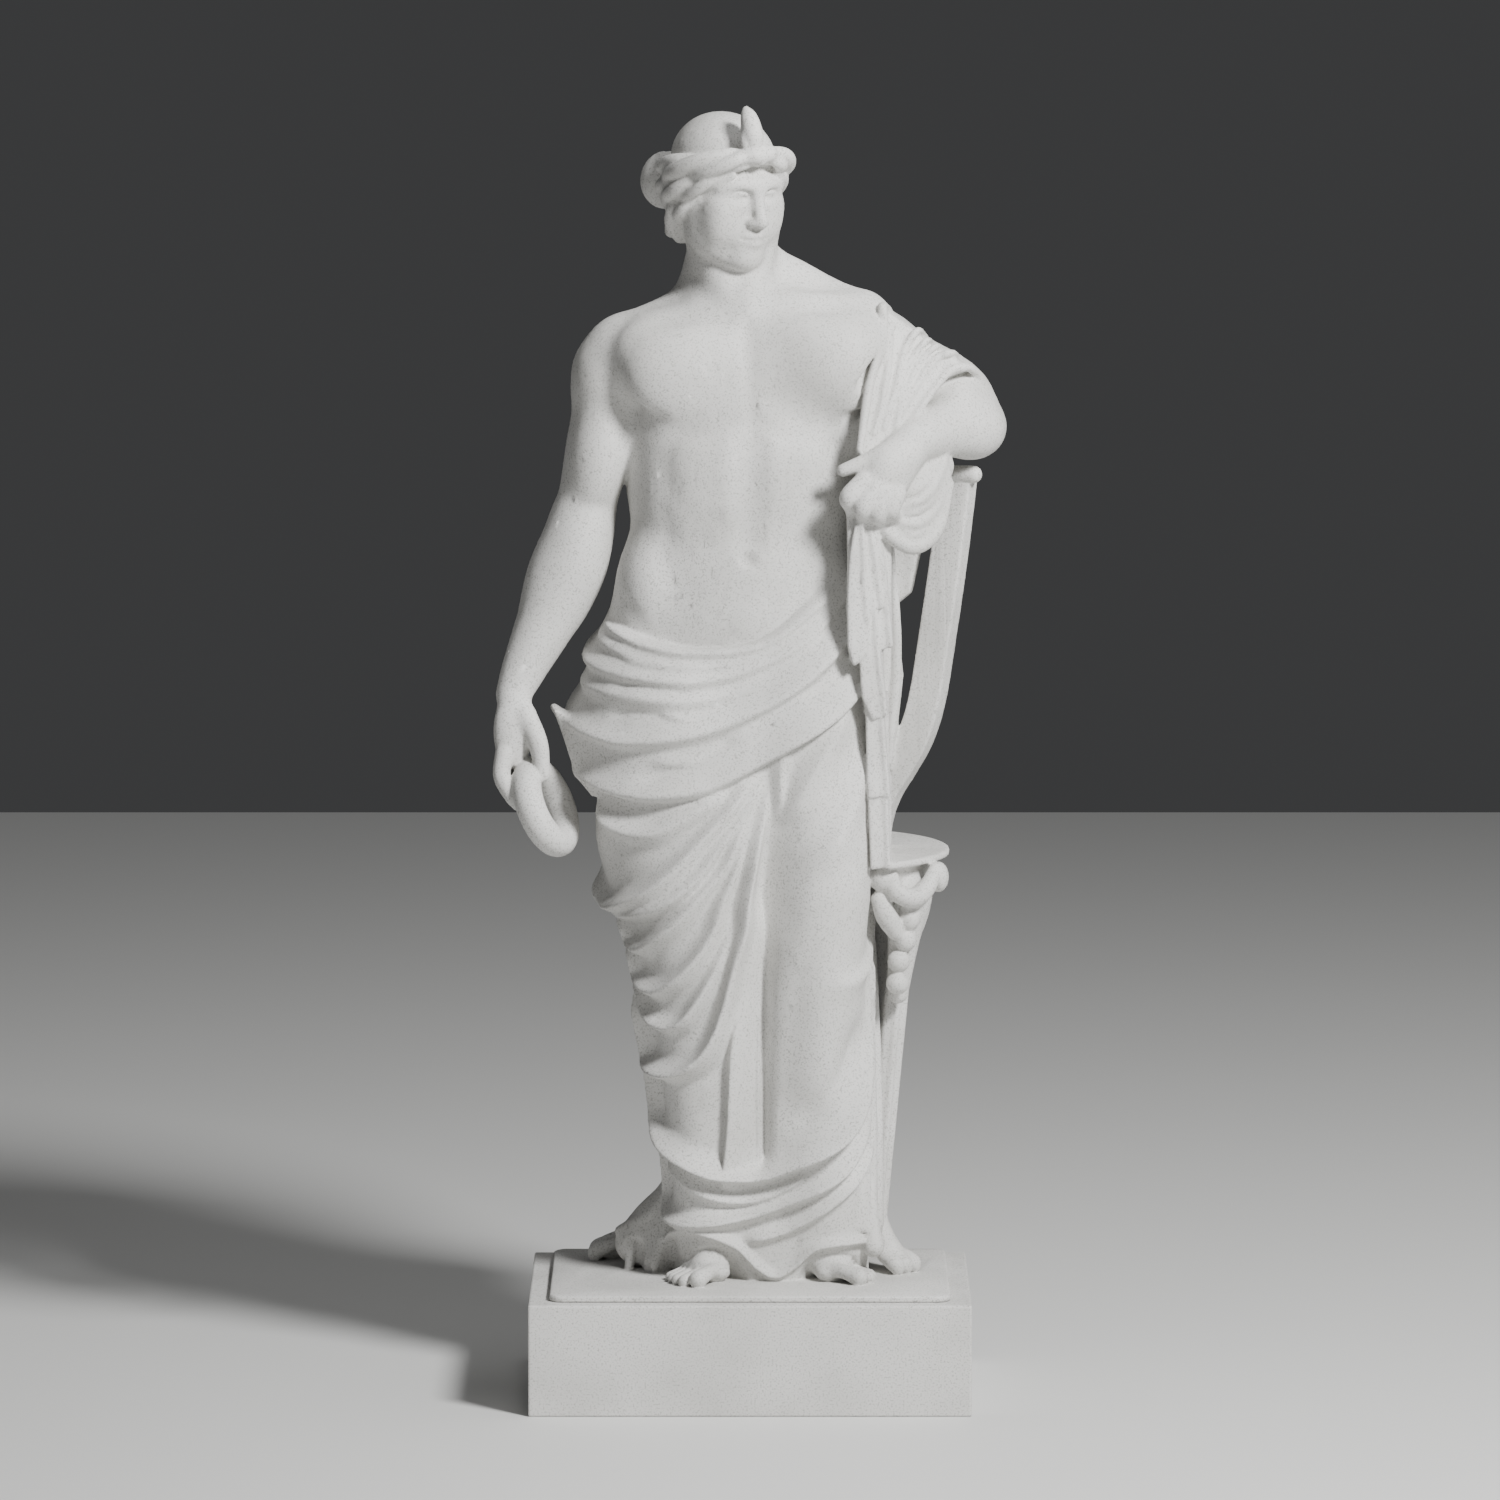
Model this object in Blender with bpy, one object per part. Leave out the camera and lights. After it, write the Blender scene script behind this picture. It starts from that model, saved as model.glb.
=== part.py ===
# A draped standing god, carved with the tripod and lyre that carry the arm, over a plain plinth block.
# The carving is shaped as a solid field on a grid, skinned, and reduced to flat facets.
# Lengths marked "shares" are hundredths of the figure's height; everything else is in metres.

import math

import bmesh
import bpy
import numpy as np
from mathutils import Euler, Matrix, Vector

# Driving dimensions, in metres
FIGURE_HEIGHT = 1.80
PLINTH_WIDTH = 0.680
PLINTH_DEPTH = 0.480
PLINTH_HEIGHT = 0.173
PLINTH_EDGE = 0.003
SEAT_GAP = 0.0003
SLAB_WIDTH = 0.616
SLAB_DEPTH = 0.430
SLAB_THICKNESS = 0.008
SLAB_CORNER = 0.022
WREATH_RADIUS = 0.058
WREATH_THICKNESS = 0.046
BOWL_RADIUS = 0.245
BOWL_RIM = 0.010
LYRE_ARM_WIDTH = 0.050
LYRE_ARM_DEPTH = 0.040
PLEAT_THICKNESS = 0.020
FACETS = 9300
CELL = FIGURE_HEIGHT / 180

SHARE = FIGURE_HEIGHT / 100
SLAB_TOP = SLAB_THICKNESS / SHARE
FAR = 9.0
MAP_RADIUS = 10.0
UPRIGHT = Matrix.Identity(3)


# Fields: distances in shares, negative inside the stone

def least(a, b, blend):
    """The nearer of two distances, rounded where they meet."""
    blend = np.maximum(blend, 1e-6)
    near = np.maximum(blend - np.abs(a - b), 0) / blend
    return np.minimum(a, b) - near * near * (blend / 4)


def most(a, b, blend):
    return -least(-a, -b, blend)


def higher(a, b):
    """The larger of two heights, rounded only where both stand above nothing."""
    return most(a, b, np.clip(np.minimum(a, b), 0, 0.15))


def step_up(t):
    """0 to 1 with level ends."""
    t = np.clip(t, 0, 1)
    return t * t * (3 - 2 * t)


class Block:
    """A block of space sampled on a grid; shapes are added to it or cut from it."""

    def __init__(self, axes):
        self.axes = axes
        self.value = np.full([len(axis) for axis in axes], FAR, np.float32)
        self.spans = None

    def window(self, low, high):
        spans = tuple(slice(*np.searchsorted(axis, (a, b))) for axis, a, b in zip(self.axes, low, high))
        shapes = ((-1, 1, 1), (1, -1, 1), (1, 1, -1))
        return spans, [axis[span].reshape(shape) for axis, span, shape in zip(self.axes, spans, shapes)]

    def add(self, shape, blend=0.3):
        distance, low, high = shape
        spans, places = self.window(low - blend - 0.8, high + blend + 0.8)
        self.value[spans] = least(self.value[spans], distance(*places), blend)

    def cut(self, shape, blend=0.2):
        distance, low, high = shape
        spans, places = self.window(low - blend - 0.8, high + blend + 0.8)
        self.value[spans] = -least(-self.value[spans], distance(*places), blend)

    def room(self, low, high):
        """An empty block over part of this one, so that its shapes blend only with each other."""
        spans, _ = self.window(low, high)
        inner = Block([axis[span] for axis, span in zip(self.axes, spans)])
        inner.spans = spans
        return inner

    def join(self, inner, blend=0.2, low=None, high=None):
        """Lays a part's block into this one; between two heights the blend grows from 0.2."""
        if low is not None:
            blend = 0.2 + (blend - 0.2) * step_up((inner.axes[2] - low) / (high - low)).reshape(1, 1, -1)
        self.value[inner.spans] = least(self.value[inner.spans], inner.value, blend)


class Pose:
    """A place and a turn: right, away from the viewer and up, as the part itself stands."""

    def __init__(self, origin, turn=(0, 0, 0)):
        self.origin = Vector(origin)
        self.turn = Euler([math.radians(a) for a in turn]).to_matrix()

    def at(self, *point):
        return tuple(self.origin + self.turn @ Vector(point))


def turned(x, y, z):
    return Euler([math.radians(a) for a in (x, y, z)]).to_matrix()


def egg(centre, radii, turn=UPRIGHT):
    """An ellipsoid."""
    m = np.array(turn.transposed(), np.float32)

    def distance(x, y, z):
        x, y, z = x - centre[0], y - centre[1], z - centre[2]
        out = near = 0
        for row, radius in zip(m, radii):
            along = (row[0] * x + row[1] * y + row[2] * z) / radius
            out = out + along**2
            near = near + (along / radius) ** 2
        out, near = np.sqrt(out), np.sqrt(near)
        return out * (out - 1) / np.maximum(near, 1e-4)

    reach = np.sqrt((np.array(turn) ** 2) @ (np.array(radii) ** 2))
    return distance, np.array(centre) - reach, np.array(centre) + reach


def smooth_path(points, count):
    """Points along a smooth curve through the given ones, evenly spread by their index."""
    p = np.array(points, float)
    if len(p) < 3:
        return p[0] + np.linspace(0, 1, count)[:, None] * (p[-1] - p[0])
    p = np.vstack([2 * p[0] - p[1], p, 2 * p[-1] - p[-2]])
    t = np.linspace(0, len(p) - 3 - 1e-9, count)
    i = t.astype(int)
    f = (t - i)[:, None]
    a, b, c, d = p[i], p[i + 1], p[i + 2], p[i + 3]
    return 0.5 * (2 * b + (c - a) * f + (2 * a - 5 * b + 4 * c - d) * f**2 + (3 * b - a - 3 * c + d) * f**3)


def limb(points, radii, count=None, squash=(1, 1, 1)):
    """A round rod of changing radius along a smooth path; squash flattens it along an axis."""
    if count is None:
        count = 2 if len(points) == 2 else 7 * len(points) - 6
    spine = smooth_path([tuple(p) + (r,) for p, r in zip(points, radii)], count)
    scale = np.array(squash, float)

    def distance(x, y, z):
        x, y, z = x * scale[0], y * scale[1], z * scale[2]
        found = None
        for a, b in zip(spine[:-1], spine[1:]):
            start, run = a[:3] * scale, (b[:3] - a[:3]) * scale
            px, py, pz = x - start[0], y - start[1], z - start[2]
            t = np.clip((px * run[0] + py * run[1] + pz * run[2]) / max(run @ run, 1e-9), 0, 1)
            gap = np.sqrt((px - t * run[0]) ** 2 + (py - t * run[1]) ** 2 + (pz - t * run[2]) ** 2)
            gap = gap - (a[3] + t * (b[3] - a[3]))
            found = gap if found is None else np.minimum(found, gap)
        return found / scale.max()

    reach = spine[:, 3:].max() / scale.min()
    return distance, spine[:, :3].min(0) - reach, spine[:, :3].max(0) + reach


def strands(points, radii, count=3, turns=1.0):
    """Rods twisted round a smooth path, as in a lock of hair or a garland."""
    spine = smooth_path([tuple(p) + (r,) for p, r in zip(points, radii)], 8 * len(points))
    run = np.gradient(spine[:, :3], axis=0)
    run /= np.linalg.norm(run, axis=1)[:, None]
    side = np.cross(run, (0.13, 0.21, 0.97))
    side /= np.linalg.norm(side, axis=1)[:, None]
    over = np.cross(run, side)
    for i in range(count):
        angle = 2 * math.pi * (i / count + turns * np.linspace(0, 1, len(spine)))
        around = side * np.cos(angle)[:, None] + over * np.sin(angle)[:, None]
        rope = spine[:, :3] + around * spine[:, 3:] * 0.5
        yield limb(rope, spine[:, 3] * 0.56, len(rope))


def outline_gap(x, z, outline):
    """Signed distance to a closed outline, negative inside."""
    p = np.array(outline, float)
    nearest, inside = None, False
    for a, b in zip(p, np.roll(p, -1, 0)):
        run = b - a
        t = np.clip(((x - a[0]) * run[0] + (z - a[1]) * run[1]) / (run @ run), 0, 1)
        gap = (x - a[0] - t * run[0]) ** 2 + (z - a[1] - t * run[1]) ** 2
        nearest = gap if nearest is None else np.minimum(nearest, gap)
        if run[1]:
            crosses = ((z >= a[1]) != (z >= b[1])) & (x < a[0] + (z - a[1]) * run[0] / run[1])
            inside = inside ^ crosses
    return np.sqrt(nearest) * np.where(inside, -1, 1)


def panel(outline, middle, thickness, pose=None, edge=0.15, lean=(0, 0)):
    """An upright slab cut to an outline in x and z, centred on depth middle, which may lean with x and z."""
    pose = pose or Pose((0, 0, 0))
    m = np.array(pose.turn.transposed(), np.float32)
    p = np.array(outline, float)
    centre = p.mean(0)

    def distance(x, y, z):
        x, y, z = x - pose.origin[0], y - pose.origin[1], z - pose.origin[2]
        x, y, z = (row[0] * x + row[1] * y + row[2] * z for row in m)
        flat = outline_gap(x, z, outline) + edge
        deep = np.abs(y - middle - lean[0] * (x - centre[0]) - lean[1] * (z - centre[1]))
        deep = deep - thickness / 2 + edge
        outside = np.sqrt(np.maximum(flat, 0) ** 2 + np.maximum(deep, 0) ** 2)
        return outside + np.minimum(np.maximum(flat, deep), 0) - edge

    depth = thickness / 2 + 1.5 + max(abs(lean[0]) * np.ptp(p[:, 0]), abs(lean[1]) * np.ptp(p[:, 1])) / 2
    corners = [
        pose.at(x, middle + side * depth, z)
        for x in (p[:, 0].min(), p[:, 0].max())
        for side in (-1, 1)
        for z in (p[:, 1].min(), p[:, 1].max())
    ]
    return distance, np.min(corners, 0), np.max(corners, 0)


def turning(profile, axis_x, axis_y):
    """A solid turned about an upright axis from an outline of radius and height."""

    def distance(x, y, z):
        return outline_gap(np.sqrt((x - axis_x) ** 2 + (y - axis_y) ** 2), z, profile)

    p = np.array(profile, float)
    reach = p[:, 0].max()
    low = np.array([axis_x - reach, axis_y - reach, p[:, 1].min()])
    return distance, low, np.array([axis_x + reach, axis_y + reach, p[:, 1].max()])


def ring(centre, first, second, radius, thickness):
    """A round ring lying along two directions at right angles."""
    first, second = np.array(first, float), np.array(second, float)
    first /= np.linalg.norm(first)
    second -= first * (first @ second)
    second /= np.linalg.norm(second)
    axis = np.cross(first, second)

    def distance(x, y, z):
        x, y, z = x - centre[0], y - centre[1], z - centre[2]
        a = x * first[0] + y * first[1] + z * first[2]
        b = x * second[0] + y * second[1] + z * second[2]
        c = x * axis[0] + y * axis[1] + z * axis[2]
        return np.sqrt((np.sqrt(a**2 + b**2) - radius) ** 2 + c**2) - thickness / 2

    reach = radius + thickness / 2
    return distance, np.array(centre) - reach, np.array(centre) + reach


class Folds:
    """Relief drawn on a flat map of a cloth: ridges stand on layers, and valleys are sunk in them."""

    def __init__(self, low, high, step):
        self.across = np.arange(low[0], high[0] + step, step)
        self.up = np.arange(low[1], high[1] + step, step)
        self.step = step
        shape = (len(self.across), len(self.up))
        self.layer, self.crest, self.sunk = np.zeros(shape), np.zeros(shape), np.zeros(shape)

    def stroke(self, points, width, under, fade):
        """Where a stroke is on the map, and how strong it is there: 1 along it, 0 at its width."""
        path = smooth_path(points, 6 * len(points))
        reach = width * max(1, under)
        spans = tuple(
            slice(*np.searchsorted(axis, (path[:, i].min() - reach, path[:, i].max() + reach)))
            for i, axis in enumerate((self.across, self.up))
        )
        x, z = self.across[spans[0]][:, None], self.up[spans[1]][None, :]
        nearest = np.full((x.shape[0], z.shape[1]), 1e6)
        side, along = np.ones_like(nearest), np.zeros_like(nearest)
        for i, (a, b) in enumerate(zip(path[:-1], path[1:])):
            run = b - a
            t = np.clip(((x - a[0]) * run[0] + (z - a[1]) * run[1]) / max(run @ run, 1e-9), 0, 1)
            gap = np.hypot(x - a[0] - t * run[0], z - a[1] - t * run[1])
            closer = gap < nearest
            nearest = np.where(closer, gap, nearest)
            side = np.where(closer, run[0] * (z - a[1]) - run[1] * (x - a[0]), side)
            along = np.where(closer, (i + t) / (len(path) - 1), along)
        soft = 0.12 * width
        t = (np.hypot(nearest, soft) - soft) / (width * np.where(side < 0, under, 1))
        strength = np.clip(1 - t, 0, 1) ** 2
        starts = step_up(along / fade[0]) if fade[0] else 1
        ends = step_up((1 - along) / fade[1]) if fade[1] else 1
        return spans, strength * starts * ends

    def ridge(self, points, width, height, under=0.5, fade=(0.15, 0.15)):
        spans, strength = self.stroke(points, width, under, fade)
        self.crest[spans] = higher(self.crest[spans], height * strength)

    def valley(self, points, width, depth, under=1.0, fade=(0.2, 0.2)):
        spans, strength = self.stroke(points, width, under, fade)
        self.sunk[spans] = higher(self.sunk[spans], depth * strength)

    def family(self, first, last, count, width, height, under=0.5, fade=(0.15, 0.15)):
        """Ridges spread evenly from the first stroke to the last."""
        for share in np.linspace(0, 1, count):
            between = [(1 - share) * np.array(a) + share * np.array(b) for a, b in zip(first, last)]
            self.ridge(between, width, height, under, fade)

    def overlap(self, points, thickness, fall=7.0, ends=1.0, soft=0.25):
        """Cloth of this thickness above a hem that runs from left to right, thinner higher up."""
        path = smooth_path(points, 8 * len(points))
        hem = np.interp(self.across, path[:, 0], path[:, 1])
        slope = np.gradient(hem, self.across)
        rise = (self.up[None, :] - hem[:, None]) / np.sqrt(1 + slope[:, None] ** 2)
        held = step_up((self.across - path[0, 0]) / ends) * step_up((path[-1, 0] - self.across) / ends)
        self.layer += thickness * step_up(rise / soft + 0.5) * (1 - step_up(rise / fall)) * held[:, None]

    def look(self, across, up):
        """The relief at places on the map."""
        if not hasattr(self, "relief"):
            self.relief = (self.layer + self.crest - self.sunk).astype(np.float32)
        i = np.clip((across - self.across[0]) / self.step, 0, len(self.across) - 1.001)
        j = np.clip((up - self.up[0]) / self.step, 0, len(self.up) - 1.001)
        i, j = np.broadcast_arrays(i, j)
        a, b = i.astype(np.int32), j.astype(np.int32)
        s, t = i - a, j - b
        r = self.relief
        low = r[a, b] * (1 - s) + r[a + 1, b] * s
        high = r[a, b + 1] * (1 - s) + r[a + 1, b + 1] * s
        return low * (1 - t) + high * t


# The body, in shares: x to the viewer's right, y away from the viewer, z up from the ground

def carve_torso(stone):
    body = stone.room((-18, -11, 44), (16, 11, 92))
    body.add(egg((-0.2, 0.4, 74.0), (9.4, 6.0, 12.0)), 1)
    body.add(egg((-0.6, 0.5, 64.5), (9.2, 5.3, 9.5)), 2.5)
    body.add(egg((-0.9, 0.6, 55.0), (11.6, 6.4, 8.5)), 3.0)
    body.add(limb([(-10.2, 1.2, 80.2), (0, 1.4, 81.5), (9.6, 1.0, 82.0)], (2.7, 3.5, 2.8)), 2.5)
    body.add(limb([(-1.5, 1.8, 82), (-1.7, 1.0, 90)], (3.9, 3.4)), 1.5)
    for side, rise in ((-1, 0), (1, 1.8)):
        body.add(limb([(side * 2.2 - 1.4, 2.6, 87.6), (side * 4.8 - 0.4, 2.8, 83.7 + rise),
                       (side * 9, 2.0, 81.6 + 0.8 * rise)], (1.4, 1.7, 1.4)), 2.0)
        body.add(egg((side * 8.3 - 0.3, 2.4, 72.5), (2.3, 3.4, 8.0)), 2.0)
        body.add(egg((side * 5.8 - 0.3, -0.6, 68.5), (3.4, 3.9, 9.0)), 2.0)
        body.add(egg((side * 4.7, -3.2, 78.0 + 0.5 * rise), (5.6, 2.7, 4.5), turned(8, 0, side * -12)), 1.3)
        body.add(egg((side * 8.6, -2.2, 79.6 + 0.5 * rise), (3.2, 2.6, 3.2)), 1.8)
        body.add(egg((side * 7.6 - 0.7, -0.9, 60.0), (3.0, 3.9, 4.2)), 2.2)
        body.add(limb([(side * 0.9 - 0.6, -2.6, 82.9 + 0.3 * rise), (side * 5, -2.0, 82.9 + 0.7 * rise),
                       (side * 9.2, -0.4, 81.8 + rise)], (0.4, 0.35, 0.4)), 2.4)
        body.add(limb([(side * 3.2 - 1.6, 0.6, 90.5), (side * 0.8 - 0.8, -2.2, 84.6)], (0.8, 0.5)), 1.8)
        for middle, radius, front in ((70.5, 2.3, -4.6), (66.6, 2.2, -4.3), (62.8, 2.0, -4.0)):
            body.add(egg((side * 2.3 - 0.2, front + 0.1, middle), (3.1, 1.15, radius)), 2.2)
    body.add(egg((-0.4, -3.3, 58.6), (5.8, 2.5, 5.4)), 2.0)
    body.add(egg((8.7, -2.3, 74.6), (1.9, 2.4, 3.8)), 1.5)
    body.cut(limb([(-0.2, -4.9, 82.6), (-0.1, -5.85, 79.6), (0.0, -6.15, 77.0), (0.1, -6.15, 74.6)],
                  (0.45, 0.5, 0.5, 0.4)), 0.9)
    body.cut(limb([(0.1, -7.3, 73.6), (0, -7.25, 68), (-0.2, -7.1, 64.4)], (1.1, 1.1, 0.9)), 1.6)
    body.cut(egg((-0.2, -6.3, 62.5), (0.5, 0.6, 0.36)), 0.7)
    for side in (-1, 1):
        body.cut(limb([(side * 9.8, -3.2, 75.4), (side * 7.4, -5.3, 73.8), (side * 4, -6.3, 73.3),
                       (side * 0.8, -6.3, 74.3)], (0.25, 0.4, 0.4, 0.1)), 1.1)
        body.cut(limb([(side * 10.6 - 0.8, -3.6, 58.8), (side * 8.6 - 0.7, -5.4, 56.4),
                       (side * 6 - 0.6, -6.4, 53)], (0.3, 0.35, 0.3)), 1.2)
    stone.join(body, 0.3)


def carve_right_arm(stone):
    arm = stone.room((-25, -7, 38), (-8, 9, 86))
    arm.add(egg((-11.8, 0.9, 77.9), (3.3, 3.5, 4.7), turned(0, 12, 0)), 0.8)
    arm.add(limb([(-12.0, 0.9, 78), (-12.8, 1.2, 72), (-14.4, 1.7, 65.0)], (2.9, 2.7, 2.5)), 1.0)
    arm.add(egg((-12.7, -0.1, 71.6), (2.3, 2.3, 4.8), turned(0, 10, 0)), 1.2)
    arm.add(egg((-13.0, 2.3, 71.8), (2.4, 2.2, 5.2), turned(0, 10, 0)), 1.2)
    arm.add(limb([(-14.5, 1.6, 64.8), (-16.6, 0.9, 58.6), (-19.2, -0.7, 53.0), (-20.25, -1.5, 50.6)],
                 (2.6, 2.75, 1.95, 1.5), 36), 1.2)
    arm.add(egg((-15.8, 0.9, 60.8), (2.9, 2.6, 5.0), turned(0, 20, 0)), 1.5)
    arm.add(egg((-14.6, 0.2, 62.4), (2.3, 2.1, 4.0), turned(0, 16, 0)), 1.2)
    arm.add(egg((-20.2, -2.6, 47.7), (1.75, 1.2, 3.4), turned(-8, 4, 12)), 0.8)
    arm.add(limb([(-19.2, -2.8, 48.9), (-18.1, -3.8, 46.5), (-17.7, -4.2, 43.9)], (0.95, 0.85, 0.6)), 0.5)
    arm.add(limb([(-21.0, -3.5, 45.6), (-21.2, -4.1, 43.8), (-20.4, -4.7, 42.2), (-19.8, -4.6, 41.4)],
                 (0.8, 0.75, 0.65, 0.55)), 0.35)
    for i, (away, rise) in enumerate(((-2.4, 0.0), (-1.3, 0.2), (-0.3, 0.7))):
        arm.add(limb([(-20.9 + 0.1 * i, away, 45.4 + rise), (-21.0 + 0.2 * i, away + 0.2, 43.2 + rise),
                      (-19.8, away + 0.2, 41.5 + rise), (-18.6, away, 42.0 + rise)],
                     (0.75, 0.7, 0.62, 0.52)), 0.3)
    stone.join(arm, 1.4, 66, 74)


def carve_left_arm(stone):
    arm = stone.room((4, -12, 62), (25, 10, 88))
    arm.add(egg((10.1, 0.9, 79.6), (3.6, 3.5, 4.2), turned(0, -24, 0)), 0.8)
    arm.add(limb([(10.4, 1.0, 79.6), (14.5, 2.2, 77.5), (17.7, 2.8, 75.9), (19.2, 3.2, 73.3)],
                 (3.0, 3.0, 2.9, 2.5), 32), 1.2)
    arm.add(egg((17.7, 0.5, 75.4), (2.1, 2.5, 2.1)), 1.5)
    arm.add(limb([(19.2, 3.0, 73.2), (18.6, 0.6, 73.4), (16.3, -1.8, 73.3), (14.2, -4.3, 72.6),
                  (12.9, -5.7, 71.7)],
                 (2.5, 2.55, 2.4, 1.95, 1.55), 44), 1.0)
    arm.add(egg((18.9, 1.2, 73.0), (2.7, 3.2, 2.4), turned(0, 0, -20)), 1.0)
    arm.add(limb([(13.2, -5.9, 71.9), (11.6, -7.2, 70.6), (10.6, -7.7, 69.3)], (1.55, 1.9, 1.6)), 0.8)
    arm.add(limb([(13.0, -5.9, 71.2), (12.2, -6.7, 69.4)], (1.5, 1.45)), 0.9)
    arm.add(limb([(11.3, -7.0, 71.3), (9.4, -7.8, 70.9), (7.9, -8.1, 70.4)], (0.95, 0.7, 0.55)), 0.5)
    for knuckle, bend, tip in (
        ((9.6, -8.7, 69.6), (8.3, -9.0, 68.2), (8.7, -7.7, 67.1)),
        ((10.6, -8.9, 68.9), (9.5, -9.2, 67.3), (9.9, -7.8, 66.4)),
        ((11.6, -8.7, 68.5), (10.8, -9.0, 66.9), (11.1, -7.7, 66.2)),
        ((12.5, -8.1, 68.4), (12.0, -8.4, 67.1), (12.2, -7.3, 66.4)),
    ):
        arm.add(limb([knuckle, bend, tip], (0.78, 0.74, 0.62)), 0.3)
    stone.join(arm, 0.35)


def carve_head(stone):
    head = Pose((-1.9, -0.3, 93.9), (9, 0, 34))
    block = stone.room((-12, -9, 84), (7, 9, 102.5))

    def blob(centre, radii, blend, turn=(0, 0, 0)):
        block.add(egg(head.at(*centre), radii, head.turn @ turned(*turn)), blend)

    def rod(points, radii, blend):
        block.add(limb([head.at(*p) for p in points], radii), blend)

    blob((0, 0.7, 1.3), (3.9, 4.9, 4.4), 0.5)
    blob((0, -1.5, -1.5), (3.45, 3.15, 4.6), 1.6)
    rod([(-3.1, 0.2, -1.6), (-2.6, -0.8, -4.1), (0, -3.5, -5.4), (2.6, -0.8, -4.1), (3.1, 0.2, -1.6)],
        (0.9, 1.1, 1.05, 1.1, 0.9), 1.4)
    blob((0, -3.85, -5.15), (1.15, 0.85, 0.85), 0.9)
    blob((0, -3.95, -3.3), (1.7, 0.85, 1.3), 1.0)
    for x in (-1, 1):
        blob((x * 2.2, -2.95, -1.0), (1.25, 1.05, 1.2), 1.1)
        blob((x * 1.9, -3.0, -2.6), (1.3, 0.9, 1.3), 1.0)
        blob((x * 2.5, -1.3, -2.2), (1.15, 2.0, 2.5), 1.6)
    rod([(-2.9, -3.3, 0.85), (-1.5, -4.2, 1.15), (0, -4.45, 1.1), (1.5, -4.2, 1.15), (2.9, -3.3, 0.85)],
        (0.4, 0.5, 0.55, 0.5, 0.4), 0.8)
    for x in (-1, 1):
        block.cut(egg(head.at(x * 1.5, -4.7, 0.15), (1.0, 0.7, 0.5), head.turn), 0.5)
        blob((x * 1.5, -3.65, 0.05), (0.85, 0.65, 0.52), 0.12)
        rod([(x * 0.65, -4.1, 0.0), (x * 1.1, -4.33, 0.36), (x * 1.7, -4.27, 0.38), (x * 2.4, -3.75, 0.02)],
            (0.1, 0.15, 0.15, 0.12), 0.15)
        rod([(x * 0.65, -4.1, -0.05), (x * 1.2, -4.25, -0.36), (x * 1.8, -4.15, -0.34),
             (x * 2.35, -3.75, 0.0)],
            (0.08, 0.11, 0.11, 0.1), 0.15)
    rod([(0, -4.35, 1.2), (0, -4.85, -0.4), (0, -5.45, -1.8)], (0.5, 0.48, 0.56), 0.6)
    blob((0, -5.3, -1.95), (0.55, 0.62, 0.42), 0.4)
    for x in (-1, 1):
        blob((x * 0.62, -4.85, -2.05), (0.42, 0.6, 0.36), 0.3)
        block.cut(egg(head.at(x * 0.36, -5.2, -2.45), (0.18, 0.28, 0.16), head.turn), 0.15)
    rod([(-1.15, -4.3, -3.42), (-0.4, -4.85, -3.2), (0, -4.85, -3.3), (0.4, -4.85, -3.2),
         (1.15, -4.3, -3.42)],
        (0.16, 0.26, 0.24, 0.26, 0.16), 0.25)
    rod([(-1.0, -4.3, -3.6), (-0.35, -4.75, -3.88), (0.35, -4.75, -3.88), (1.0, -4.3, -3.6)],
        (0.16, 0.3, 0.3, 0.16), 0.25)
    block.cut(limb([head.at(*p) for p in ((-1.25, -4.6, -3.5), (0, -5.25, -3.56), (1.25, -4.6, -3.5))],
                   (0.08, 0.11, 0.08)), 0.12)

    # The hair: a smooth cap, thick twisted rolls swept back from the brow, a topknot and a bun
    def tress(points, radii, turns):
        for strand in strands([head.at(*p) for p in points], radii, 3, turns):
            block.add(strand, 0.18)

    blob((0, 1.0, 2.1), (4.2, 5.1, 4.15), 0.15)
    for side, wide in ((-1, 1), (1, 0.9)):
        flank = side * wide
        tress([(side * 0.4 - 0.4, -4.5, 3.6), (flank * 2.4, -4.15, 3.3), (flank * 4.1, -2.2, 2.5),
               (flank * 4.7, 0.6, 1.6), (flank * 3.9, 3.4, 1.0)], (0.65, 1.05, 1.2, 1.3, 1.2), side * 0.8)
        tress([(flank * 2.3, -3.9, 2.1), (flank * 3.9, -2.2, 1.0), (flank * 4.7, 0.4, -0.2),
               (flank * 3.9, 3.2, -0.6)], (0.5, 0.95, 1.1, 1.15), side * 0.8)
        tress([(flank * 3.7, -1.7, -0.5), (flank * 4.2, -0.2, -1.5), (flank * 3.9, 1.4, -2.2),
               (flank * 2.8, 2.8, -2.8)], (0.45, 0.85, 1.0, 1.0), side * 0.7)
        block.add(egg(head.at(side * 2.2, 3.0, -0.6), (2.4, 2.4, 2.8), head.turn), 0.4)
    blob((0, 4.3, -2.9), (2.7, 1.7, 2.4), 0.4)
    for side, low in ((-1, -4.6), (1, -4.4)):
        tress([(side * 3.3, 1.4, -1.8), (side * 3.1, 2.6, -3.0), (side * 2.1, 3.8, low)],
              (0.8, 1.15, 1.1), side * 0.5)
    blob((-1.9, 6.6, -0.7), (2.25, 2.1, 2.5), 0.25)
    for shift in (-1.1, 0, 1.1):
        block.cut(limb([head.at(-1.9 + shift * 1.5, 5.2, 2.2), head.at(-1.9 + shift, 8.6, 1.2),
                        head.at(-1.9 + shift, 9.0, -1.4), head.at(-1.9 + shift * 1.5, 6.6, -3.2)],
                       (0.12, 0.16, 0.16, 0.12)), 0.25)
    rod([(-0.8, -4.6, 4.0), (-1.0, -4.6, 5.4), (-1.0, -3.8, 6.7), (-1.0, -3.2, 7.4)],
        (0.6, 0.85, 0.75, 0.35), 0.2)
    for shift in (-0.8, 0.8):
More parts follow.
